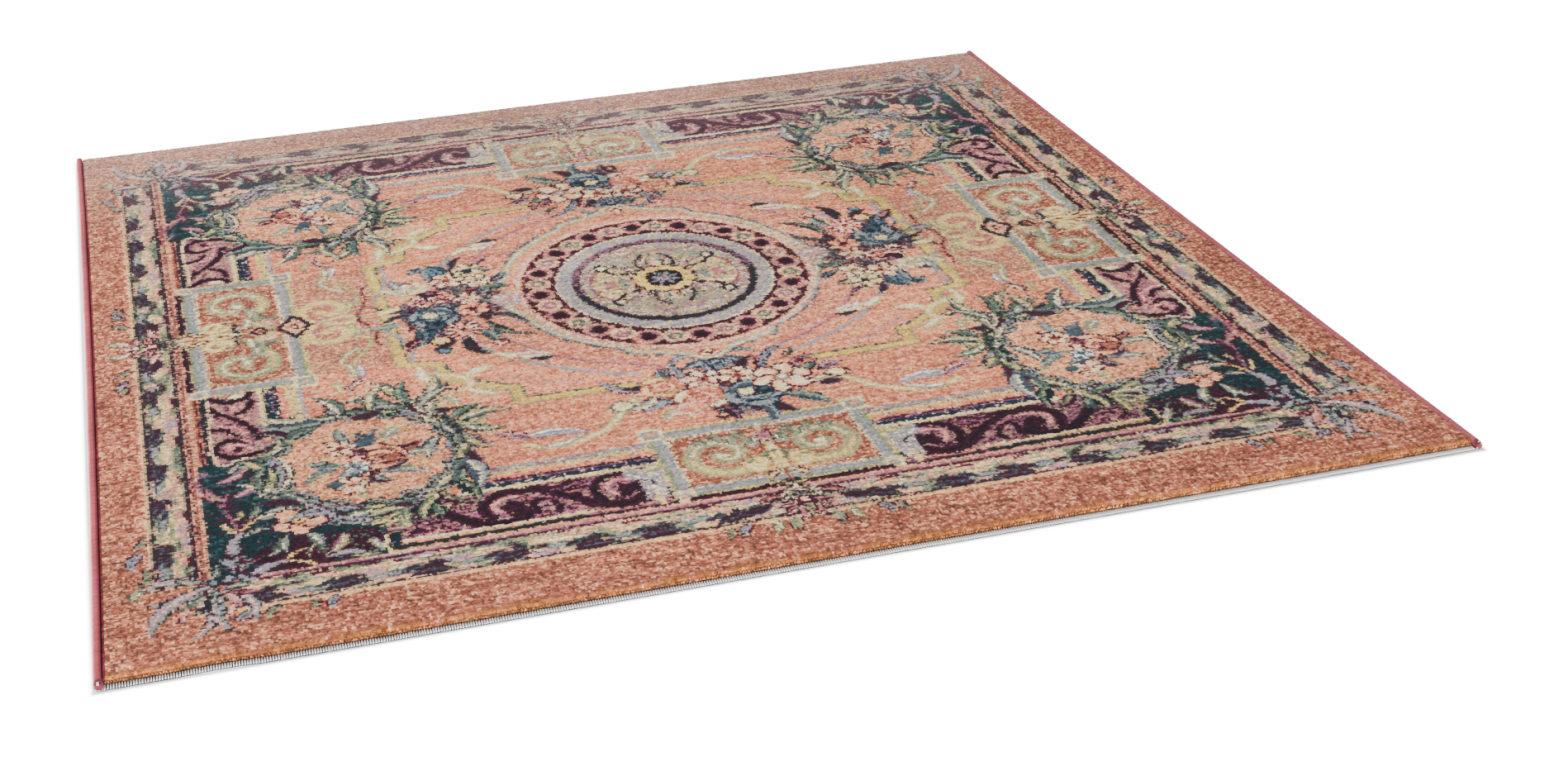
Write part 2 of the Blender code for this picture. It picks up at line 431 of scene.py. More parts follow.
def leaf_border(weave):
    """Flame-like acanthus lobes that flow from the corners to the middle of each side."""
    rng = weave.rng

    def put(axis, along, across, turn, length, width, yarns, bend):
        if axis == "x":
            leaf(weave, (along, 0.846 + across), 180 - turn, length, width, yarns, bend)
        else:
            leaf(weave, (0.891 + across, along), 270 + turn, length, width, yarns, -bend)

    pale = ("olive", "straw", "cream", "peach")
    warm = ("sage", "apricot", "peach", "rose")
    cool = ("slate", "sage", "mist", "lavender")
    for axis, pitch, start in (("x", 0.112, 0.130), ("y", 0.124, 0.110)):
        for index in range(8):
            at = start + pitch * index + rng.uniform(-0.010, 0.010)
            if at > 0.86:
                continue
            for spot, across, turn, length, width, yarns in (
                    (0.030, -0.004, 10, 0.070, 0.0120, pale), (0.016, -0.018, 14, 0.064, 0.0095, warm),
                    (0.044, 0.010, 4, 0.060, 0.0085, cool), (0.000, 0.022, -4, 0.066, 0.0110, ("charcoal", "plum", "plum", "slate")),
                    (-0.006, 0.012, -12, 0.050, 0.0090, DARK_GAP), (0.010, 0.010, -22, 0.036, 0.0065, DARK_GAP),
                    (-0.030, -0.008, 24, 0.030, 0.0045, ("charcoal", "moss", "plum", "plum")),
                    (0.020, -0.026, 6, 0.040, 0.0032, ("plum", "plum", "plum", "plum"))):
                swing = rng.uniform(-5, 5)
                put(axis, at + spot, across, turn + swing, length, width, yarns, rng.uniform(0.02, 0.16))
    plain_x, plain_y = PLAIN_EDGE
    lines(weave, (
        ([(0.0, plain_y - 0.010), (plain_x - 0.06, plain_y - 0.010)], 0.0024, "charcoal", "plum"),
        ([(plain_x - 0.010, 0.0), (plain_x - 0.010, plain_y - 0.06)], 0.0024, "plum", "charcoal"),
        ([(0.0, plain_y - 0.003), (0.830, plain_y - 0.003)], 0.0040, "straw", "apricot"),
        ([(plain_x - 0.003, 0.0), (plain_x - 0.003, 0.790)], 0.0034, "olive", "peach"),
        ([(0.0, 0.808), (0.858, 0.808)], 0.0040, "plum", "mauve"),
        ([(0.859, 0.0), (0.859, 0.806)], 0.0030, "plum", "charcoal"),
        ([(0.0, 0.798), (0.838, 0.798)], 0.0024, "rose", "apricot"),
    ))
    # sprigs that poke out over the line
    leaves(weave, (
        (0.780, 0.884, 20, 0.044, 0.010, GREY_LEAF), (0.750, 0.884, 60, 0.040, 0.009, OLIVE_LEAF),
        (0.705, 0.882, 70, 0.030, 0.008, OLIVE_LEAF), (0.672, 0.884, 64, 0.034, 0.009, GREY_LEAF),
        (0.125, 0.884, 70, 0.030, 0.009, OLIVE_LEAF), (0.094, 0.882, 60, 0.034, 0.009, GREY_LEAF),
        (0.060, 0.882, 78, 0.034, 0.009, PALE_LEAF), (0.024, 0.884, 80, 0.036, 0.011, OLIVE_LEAF),
        (0.926, 0.078, 40, 0.046, 0.009, OLIVE_LEAF), (0.928, 0.125, 60, 0.044, 0.009, GREY_LEAF),
        (0.926, 0.015, 10, 0.040, 0.012, PALE_LEAF), (0.926, 0.150, 60, 0.036, 0.008, OLIVE_LEAF),
        (0.926, 0.735, 80, 0.054, 0.010, OLIVE_LEAF), (0.928, 0.690, 70, 0.050, 0.010, GREY_LEAF),
        (0.926, 0.650, 60, 0.036, 0.009, OLIVE_LEAF), (0.926, 0.785, 60, 0.040, 0.010, PALE_LEAF),
    ))


def corner_palmette(weave):
    weave.ground((0.866, 0.800), (0.932, 0.892), BORDER_MIX, 0.3)
    pale = ("charcoal", "lavender", "mist", "pink")
    warm = ("plum", "terracotta", "pink", "lavender")
    leaves(weave, (
        (0.840, 0.800, 34, 0.086, 0.0100, warm), (0.838, 0.806, 66, 0.106, 0.0115, warm), (0.832, 0.806, 87, 0.108, 0.0105, warm),
        (0.826, 0.808, 122, 0.076, 0.0110, warm), (0.842, 0.806, 16, 0.096, 0.0120, pale), (0.844, 0.800, 356, 0.094, 0.0120, pale),
        (0.842, 0.794, 334, 0.056, 0.0090, ("plum", "mist", "olive", "sage")), (0.846, 0.810, 54, 0.138, 0.0135, pale),
        (0.840, 0.812, 76, 0.130, 0.0125, pale), (0.832, 0.812, 99, 0.124, 0.0120, pale), (0.826, 0.812, 110, 0.112, 0.0110, pale),
        (0.822, 0.810, 146, 0.056, 0.0095, ("plum", "rose", "mauve", "plum")), (0.822, 0.822, 176, 0.040, 0.0090, ("charcoal", "moss", "sage", "cream")),
        (0.838, 0.792, 262, 0.040, 0.0080, ("charcoal", "moss", "mist", "cream")), (0.850, 0.822, 40, 0.060, 0.0050, ("moss", "moss", "sage", "moss")),
        (0.836, 0.822, 90, 0.070, 0.0050, ("charcoal", "deep_teal", "moss", "charcoal")),
    ), 0.16)
    dots(weave, ((0.836, 0.802, 0.010, 0.012, "charcoal"), (0.836, 0.800, 0.005, 0.006, "mist")))


def middle_palmettes(weave):
    for x, y, angle in ((0.0, 0.838, 90), (0.888, 0.0, 0)):
        fan(weave, (x, y), angle, 84, 0.064, 6, ("charcoal", "rose", "pink", "plum"), 0.20)
        fan(weave, (x, y), angle, 40, 0.044, 3, ("plum", "olive", "cream", "moss"), 0.24)
        fan(weave, (x, y), angle + 180, 70, 0.052, 5, ("charcoal", "sage", "cream", "plum"), 0.2)
        weave.disc((x, y), (0.013, 0.013), "plum")
        weave.disc((x, y), (0.007, 0.007), "pink")
    leaves(weave, ((0.050, 0.836, 10, 0.055, 0.012, DARK_GAP), (0.030, 0.822, 20, 0.040, 0.010, RED_LEAF),
                   (0.888, 0.050, 80, 0.060, 0.012, DARK_GAP), (0.874, 0.030, 70, 0.045, 0.010, ("plum", "rose", "pink", "cream"))))


def trumpet(weave, base, fork, first, second, size):
    """A lily seen from its side: a lavender throat that opens in two straw lips."""
    for start, end, width, yarns in ((fork, first, 0.55, ("plum", "straw", "cream", "yellow")),
                                     (fork, second, 0.50, ("plum", "ochre", "straw", "yellow")),
                                     (base, fork, 1.0, ("plum", "lavender", "mist", "lavender"))):
        path = bow(start, end, 0.10)
        bands = ((1.0, yarns[0], yarns[0]), (0.72, yarns[1], yarns[2]), (0.25, yarns[3], yarns[3]))
        weave.stroke(path, np.linspace(size, size * 0.55, len(path)) * width, bands, 0.2)


def corner_ground(weave):
    weave.ground(CORNER_GROUND, INNER_EDGE, TEAL_MIX, 1.6, (2, 14))
    weave.disc((0.708, 0.756), (0.070, 0.044), (("plum", 0.6), ("aubergine", 0.4)))
    weave.disc((0.636, 0.756), (0.050, 0.040), (("aubergine", 0.5), ("plum", 0.3), ("moss", 0.2)))
    weave.disc((0.800, 0.620), (0.018, 0.044), (("plum", 0.5), ("teal", 0.5)))
    pale = ("charcoal", "mist", "lavender", "mist")
    grey = ("charcoal", "sage", "mist", "cream")
    leaves(weave, (
        (0.806, 0.786, 250, 0.050, 0.0120, pale), (0.804, 0.780, 302, 0.048, 0.0095, pale), (0.800, 0.784, 226, 0.046, 0.0100, pale),
        (0.802, 0.790, 146, 0.036, 0.0085, pale), (0.808, 0.788, 30, 0.028, 0.0080, pale), (0.800, 0.778, 270, 0.044, 0.0060, ("plum", "lavender", "pink", "mist")),
        (0.734, 0.706, 62, 0.056, 0.0130, GREEN_GREY), (0.727, 0.704, 88, 0.050, 0.0115, GREEN_GREY),
        (0.704, 0.704, 106, 0.064, 0.0130, GREEN_GREY), (0.752, 0.676, 20, 0.036, 0.0100, GREEN_GREY),
        (0.668, 0.690, 172, 0.060, 0.0120, pale), (0.680, 0.674, 200, 0.040, 0.0100, ("plum", "mist", "lavender", "pink")),
        (0.650, 0.722, 60, 0.060, 0.0120, ("plum", "mauve", "olive", "cream")), (0.612, 0.744, 120, 0.052, 0.0110, ("plum", "sage", "mist", "cream")),
        (0.676, 0.780, 170, 0.060, 0.0095, ("plum", "mist", "lavender", "mist")), (0.640, 0.790, 190, 0.040, 0.0070, ("moss", "sage", "straw", "moss")),
        (0.760, 0.742, 30, 0.040, 0.0060, ("aubergine", "plum", "mauve", "plum")), (0.690, 0.740, 70, 0.034, 0.0070, ("plum", "moss", "olive", "cream")),
        (0.754, 0.632, 170, 0.080, 0.0110, grey), (0.776, 0.642, 196, 0.060, 0.0100, ("charcoal", "mist", "cream", "sage")),
        (0.744, 0.612, 160, 0.060, 0.0090, ("plum", "lavender", "mist", "cream")), (0.790, 0.660, 240, 0.044, 0.0070, ("plum", "rose", "mauve", "plum")),
    ))
    # acanthus beside the side panel
    leaves(weave, (
        (0.826, 0.566, 276, 0.090, 0.0120, ("plum", "mauve", "rose", "pink")), (0.818, 0.520, 224, 0.072, 0.0115, ("plum", "rose", "mauve", "lavender")),
        (0.802, 0.580, 296, 0.060, 0.0110, ("plum", "mauve", "rose", "olive")), (0.796, 0.572, 236, 0.084, 0.0120, ("slate", "mauve", "rose", "pink")),
        (0.766, 0.532, 214, 0.070, 0.0110, ("plum", "lavender", "olive", "cream")), (0.760, 0.500, 250, 0.050, 0.0100, ("slate", "mist", "lavender", "rose")),
        (0.748, 0.560, 100, 0.060, 0.0110, grey), (0.738, 0.520, 84, 0.070, 0.0120, ("charcoal", "lavender", "mist", "olive")),
        (0.764, 0.596, 70, 0.046, 0.0090, ("charcoal", "moss", "sage", "mist")), (0.812, 0.600, 300, 0.036, 0.0070, ("aubergine", "plum", "mauve", "plum")),
        (0.792, 0.480, 150, 0.050, 0.0080, ("plum", "sage", "mist", "olive")), (0.828, 0.470, 100, 0.040, 0.0060, ("slate", "mauve", "rose", "slate")),
        (0.786, 0.610, 60, 0.040, 0.0070, ("plum", "olive", "straw", "rose")), (0.770, 0.466, 60, 0.050, 0.0085, GREEN_GREY),
    ), 0.18)
    lines(weave, (
        ([(0.806, 0.730), (0.796, 0.752), (0.804, 0.782)], 0.0030, "plum", "plum"),
        ([(0.775, 0.790), (0.790, 0.786), (0.802, 0.784)], 0.0030, "plum", "plum"),
        ([(0.800, 0.560), (0.808, 0.600), (0.796, 0.640), (0.792, 0.668)], 0.0044, "plum", "mauve"),
    ))
    trumpet(weave, (0.805, 0.727), (0.791, 0.680), (0.813, 0.646), (0.766, 0.646), 0.0120)
    trumpet(weave, (0.775, 0.791), (0.736, 0.774), (0.707, 0.749), (0.697, 0.795), 0.0110)
    flower(weave, (0.707, 0.668), 0.034, 5, ("plum", "apricot", "peach", "brick"), 20)
    weave.disc((0.707, 0.664), (0.010, 0.010), "yellow")
    weave.disc((0.707, 0.664), (0.0045, 0.0045), "plum")


def roundel(weave):
    """Round peach ground in a wreath of acanthus, with leaf sprays out of it."""
    weave.ring(ROUNDEL, (0.080, 0.085), 0.084, WREATH_MIX)
    weave.ring(ROUNDEL, (0.064, 0.069), 0.0675, ROUNDEL_MIX)
    kinds = (GREEN_LEAF, GREEN_GREY, ("charcoal", "olive", "cream", "sage"), GREY_LEAF, ("deep_teal", "moss", "olive", "straw"))
    for index in range(22):
        angle = -70 + index * 16.4
        point = (ROUNDEL[0] + 0.148 * math.cos(math.radians(angle)), ROUNDEL[1] + 0.158 * math.sin(math.radians(angle)))
        leaf(weave, point, angle + 66, 0.040, 0.0080, DARK_GAP, 0.12)
        leaf(weave, point, angle + 82, 0.066, 0.0105, kinds[index % 5], 0.16)
        if index % 2:
            leaf(weave, point, angle + 44, 0.046, 0.0085, kinds[(index + 2) % 5], 0.14)
    for index in range(15):
        angle = -60 + index * 23.0
        point = (ROUNDEL[0] + 0.139 * math.cos(math.radians(angle)), ROUNDEL[1] + 0.146 * math.sin(math.radians(angle)))
        leaf(weave, point, angle + 104, 0.050, 0.0060, ("charcoal", "mist", "lavender", "sage"), 0.2)
    for index in range(13):
        angle = -75 + index * 21.0
        point = (ROUNDEL[0] - 0.156 * math.cos(math.radians(angle)), ROUNDEL[1] + 0.164 * math.sin(math.radians(angle)))
        leaf(weave, point, 180 - angle - 62, 0.068, 0.0135, DARK_GAP if index % 3 == 1 else kinds[(index * 2) % 5], -0.16)
    # the long leaf down the outer side, and the pale curl below
    leaves(weave, (
        (0.724, 0.462, 84, 0.130, 0.0130, ("charcoal", "mist", "cream", "plum")),
        (0.742, 0.485, 88, 0.090, 0.0100, ("charcoal", "moss", "sage", "slate")),
        (0.700, 0.612, 124, 0.080, 0.0140, ("charcoal", "lavender", "mist", "plum")),
        (0.664, 0.664, 150, 0.075, 0.0130, ("charcoal", "mist", "lavender", "charcoal")),
        (0.610, 0.690, 190, 0.060, 0.0110, ("charcoal", "sage", "olive", "cream")),
    ), 0.14)
    # large leaves towards the field, the side and the end
    stem = ("charcoal", "moss", "charcoal")
    volute(weave, curve([(0.556, 0.350), (0.508, 0.352), (0.470, 0.388), (0.446, 0.440), (0.438, 0.500)], 5), 0.0080, 0.0060, stem)
    blade = ("charcoal", "moss", "olive", "cream")
    grey = ("charcoal", "slate", "mist", "cream")
    leaves(weave, (
        (0.514, 0.356, 318, 0.088, 0.0150, grey), (0.512, 0.350, 296, 0.104, 0.0150, blade), (0.500, 0.350, 268, 0.084, 0.0120, GREEN_LEAF),
        (0.494, 0.356, 246, 0.112, 0.0145, blade), (0.484, 0.372, 226, 0.084, 0.0120, GREEN_GREY), (0.530, 0.346, 338, 0.076, 0.0130, GREEN_LEAF),
        (0.440, 0.436, 188, 0.092, 0.0150, blade), (0.440, 0.448, 160, 0.082, 0.0120, ("charcoal", "moss", "sage", "cream")),
        (0.444, 0.424, 212, 0.066, 0.0110, GREEN_LEAF), (0.436, 0.490, 130, 0.062, 0.0120, ("plum", "moss", "olive", "straw")),
        (0.460, 0.404, 300, 0.070, 0.0100, ("plum", "sage", "cream", "moss")), (0.470, 0.470, 70, 0.080, 0.0120, grey),
        (0.560, 0.676, 50, 0.060, 0.0110, ("moss", "olive", "straw", "moss")), (0.548, 0.680, 84, 0.066, 0.0100, ("moss", "olive", "straw", "moss")),
        (0.530, 0.668, 110, 0.062, 0.0110, GREEN_LEAF), (0.508, 0.660, 70, 0.072, 0.0120, ("deep_teal", "moss", "olive", "straw")),
        (0.572, 0.690, 20, 0.050, 0.0100, ("plum", "olive", "straw", "moss")),
    ), 0.14)
    leaves(weave, (
        (0.452, 0.560, 92, 0.104, 0.0175, ("plum", "slate", "mist", "cream")),
        (0.438, 0.555, 60, 0.060, 0.0100, ("charcoal", "moss", "slate", "mist")),
        (0.478, 0.620, 110, 0.080, 0.0120, ("deep_teal", "deep_teal", "moss", "olive")),
        (0.500, 0.640, 130, 0.075, 0.0110, ("aubergine", "plum", "moss", "olive")),
        (0.640, 0.366, 352, 0.104, 0.0190, ("charcoal", "slate", "mist", "sage")),
        (0.650, 0.385, 40, 0.080, 0.0140, GREEN_LEAF), (0.660, 0.350, 340, 0.080, 0.0120, ("charcoal", "olive", "cream", "mist")),
        (0.610, 0.360, 300, 0.090, 0.0140, ("charcoal", "moss", "cream", "slate")),
        (0.560, 0.360, 250, 0.100, 0.0130, ("plum", "moss", "olive", "cream")),
        (0.600, 0.372, 200, 0.060, 0.0130, DARK_GAP), (0.470, 0.400, 250, 0.060, 0.0100, ("plum", "sage", "cream", "moss")),
        (0.700, 0.410, 330, 0.060, 0.0120, ("aubergine", "plum", "mist", "plum")),
    ), 0.16)


def scroll_panels(weave):
    """Mauve panels with thick plum scrolls beside the corner grounds."""
    weave.ground((0.176, 0.668), (CORNER_GROUND[0], 0.776), MAUVE_MIX, 1.2, (2, 8))
    weave.ground((0.735, 0.222), (0.815, CORNER_GROUND[1]), ROSY_MIX, 1.2, (8, 2))
    plum = ("plum", "aubergine", "aubergine")
    deep = ("aubergine", "plum", "aubergine")
    light = ("mauve", "rose", "pink")
    thick = (
        ([(0.548, 0.690), (0.512, 0.704), (0.482, 0.738), (0.446, 0.764), (0.405, 0.766), (0.378, 0.748)], 0.0115, 0.0100, plum),
        ([(0.440, 0.752), (0.446, 0.716), (0.424, 0.688), (0.392, 0.680), (0.352, 0.692), (0.318, 0.724),
          (0.282, 0.756), (0.246, 0.768), (0.216, 0.756)], 0.0100, 0.0120, deep),
        ([(0.214, 0.762), (0.210, 0.738), (0.230, 0.722), (0.244, 0.738)], 0.0120, 0.0110, deep),
        ([(0.276, 0.752), (0.284, 0.716), (0.268, 0.688), (0.236, 0.676)], 0.0095, 0.0060, plum),
        ([(0.404, 0.752), (0.392, 0.736), (0.406, 0.720), (0.418, 0.734)], 0.0110, 0.0110, deep),
        ([(0.372, 0.752), (0.372, 0.722), (0.354, 0.716), (0.342, 0.736), (0.340, 0.760)], 0.0060, 0.0050, plum),
    )
    for points, wide, narrow, yarns in thick:
        volute(weave, curve(points, 5), wide, narrow, yarns)
    thin = (
        ([(0.424, 0.738), (0.434, 0.716), (0.416, 0.700), (0.394, 0.698)], 0.0062, 0.0040, light),
        ([(0.256, 0.738), (0.264, 0.712), (0.248, 0.696), (0.230, 0.700)], 0.0062, 0.0040, light),
        ([(0.330, 0.742), (0.300, 0.764), (0.286, 0.770)], 0.0050, 0.0040, ("plum", "mauve", "rose")),
        ([(0.380, 0.706), (0.352, 0.712), (0.322, 0.742)], 0.0046, 0.0040, ("plum", "rose", "mauve")),
        ([(0.494, 0.760), (0.520, 0.724), (0.552, 0.706)], 0.0056, 0.0040, ("plum", "mauve", "rose")),
    )
    for points, wide, narrow, yarns in thin:
        volute(weave, curve(points, 5), wide, narrow, yarns)
    leaves(weave, (
        (0.300, 0.676, 10, 0.060, 0.0100, PLUM_LEAF), (0.330, 0.704, 190, 0.040, 0.0080, RED_LEAF),
        (0.560, 0.756, 200, 0.060, 0.0100, ("aubergine", "plum", "rose", "plum")),
        (0.548, 0.730, 150, 0.050, 0.0100, ("aubergine", "plum", "mauve", "rose")),
        (0.515, 0.745, 30, 0.050, 0.0085, ("plum", "rose", "pink", "mauve")),
        (0.575, 0.715, 210, 0.050, 0.0100, DARK_GAP), (0.490, 0.690, 20, 0.060, 0.0100, ("aubergine", "plum", "moss", "straw")),
    ), 0.2)
    # the side panel's scroll
    thick = (
        ([(0.806, 0.236), (0.786, 0.254), (0.758, 0.250), (0.742, 0.232)], 0.0076, 0.0070, plum),
        ([(0.812, 0.268), (0.792, 0.300), (0.766, 0.328), (0.750, 0.360), (0.742, 0.396)], 0.0078, 0.0064, plum),
        ([(0.744, 0.262), (0.752, 0.288), (0.770, 0.302)], 0.0068, 0.0050, plum),
        ([(0.812, 0.345), (0.790, 0.352), (0.776, 0.374)], 0.0062, 0.0044, plum),
        ([(0.745, 0.440), (0.775, 0.448), (0.804, 0.432), (0.808, 0.404), (0.786, 0.388), (0.768, 0.404), (0.776, 0.424)],
         0.0074, 0.0058, plum),
    )
    for points, wide, narrow, yarns in thick:
        volute(weave, curve(points, 5), wide, narrow, yarns)
    thin = (
        ([(0.800, 0.300), (0.778, 0.330), (0.766, 0.366)], 0.0056, 0.0040, ("plum", "rose", "mauve")),
        ([(0.790, 0.420), (0.782, 0.404), (0.764, 0.412), (0.752, 0.430)], 0.0060, 0.0040, light),
        ([(0.760, 0.380), (0.770, 0.352), (0.800, 0.332)], 0.0046, 0.0040, light),
    )
    for points, wide, narrow, yarns in thin:
        volute(weave, curve(points, 5), wide, narrow, yarns)
    dots(weave, ((0.766, 0.238, 0.014, 0.008, "cream"), (0.776, 0.424, 0.008, 0.008, "plum")))
    lines(weave, (
        ([(0.176, 0.668), (0.470, 0.668)], 0.0048, "straw", "cream"),
        ([(0.728, 0.230), (0.728, 0.380)], 0.0048, "straw", "cream"),
        ([(0.300, 0.776), (0.570, 0.772)], 0.0042, "straw", "cream"),
        ([(0.176, 0.786), (0.592, 0.787)], 0.0056, "deep_teal", "charcoal"),
        ([(0.180, 0.786), (0.300, 0.786)], 0.0040, "plum", "mauve"),
        ([(0.592, 0.748), (0.592, 0.796), (0.560, 0.797)], 0.0034, "straw", "cream"),
        ([(0.581, 0.752), (0.580, 0.782)], 0.0070, "deep_teal", "deep_teal"),
        ([(0.821, 0.225), (0.821, 0.455)], 0.0050, "deep_teal", "charcoal"),
        ([(0.812, 0.240), (0.812, 0.452), (0.765, 0.452)], 0.0030, "cream", "pink"),
        ([(0.832, 0.225), (0.832, 0.455)], 0.0030, "plum", "brick"),
    ), 0.35)
    weave.ground((0.174, 0.676), (0.214, 0.770), (("lavender", 0.5), ("mist", 0.22), ("cream", 0.28)), 0.5)
    leaves(weave, (
        (0.200, 0.688, 190, 0.038, 0.010, ("sage", "olive", "straw", "cream")), (0.196, 0.752, 100, 0.040, 0.010, ("mauve", "straw", "cream", "straw")),
        (0.205, 0.705, 300, 0.040, 0.012, ("lavender", "mist", "lavender", "cream")),
    ))
    lines(weave, (([(0.228, 0.712), (0.210, 0.708), (0.194, 0.722)], 0.0024, "charcoal", "charcoal"),
                  ([(0.177, 0.744), (0.180, 0.778)], 0.0024, "charcoal", "charcoal")))


MOULDING = (("mist", 0.008), ("mauve", 0.005), ("straw", 0.012), ("salmon", 0.011), ("plum", 0.006),
            ("mauve", 0.004), ("navy", 0.010), ("charcoal", 0.008), ("straw", 0.005))


def mouldings(weave):
    """Striped mouldings between the field and the scroll panels."""
    at = 0.604
    for yarn, thick in MOULDING:
        weave.ground((0.165, at), (0.470, at + thick), ((yarn, 0.80), ("mauve", 0.12), ("cream", 0.08)), 0.3)
        at += thick
    at = 0.662
    for yarn, thick in (("lavender", 0.006), ("straw", 0.018), ("salmon", 0.014), ("plum", 0.005), ("navy", 0.015),
                        ("charcoal", 0.005)):
        weave.ground((at, 0.21), (at + thick, 0.400), ((yarn, 0.80), ("mauve", 0.12), ("cream", 0.08)), 0.3)
        at += thick


def panel_frame(weave, low, high, pads):
    path = box_path(low, high)
    weave.stroke(path, 0.0150, ((1.0, "cream", "straw"), (0.70, "mist", "sage"), (0.22, "lavender", "mist")), 0.22)
    for corner, size in pads:
        reach = np.array((size, size))
        corner = np.array(corner)
        weave.ground(corner - reach - 0.007, corner + reach + 0.007, (("cream", 0.7), ("straw", 0.3)), 0)
        weave.ground(corner - reach, corner + reach, FRAME_MIX, 0)
        weave.ground(corner - reach * 0.42, corner + reach * 0.42, (("salmon", 0.7), ("pink", 0.3)), 0)


def box_path(low, high):
    return [(low[0], low[1]), (high[0], low[1]), (high[0], high[1]), (low[0], high[1]), (low[0], low[1])]


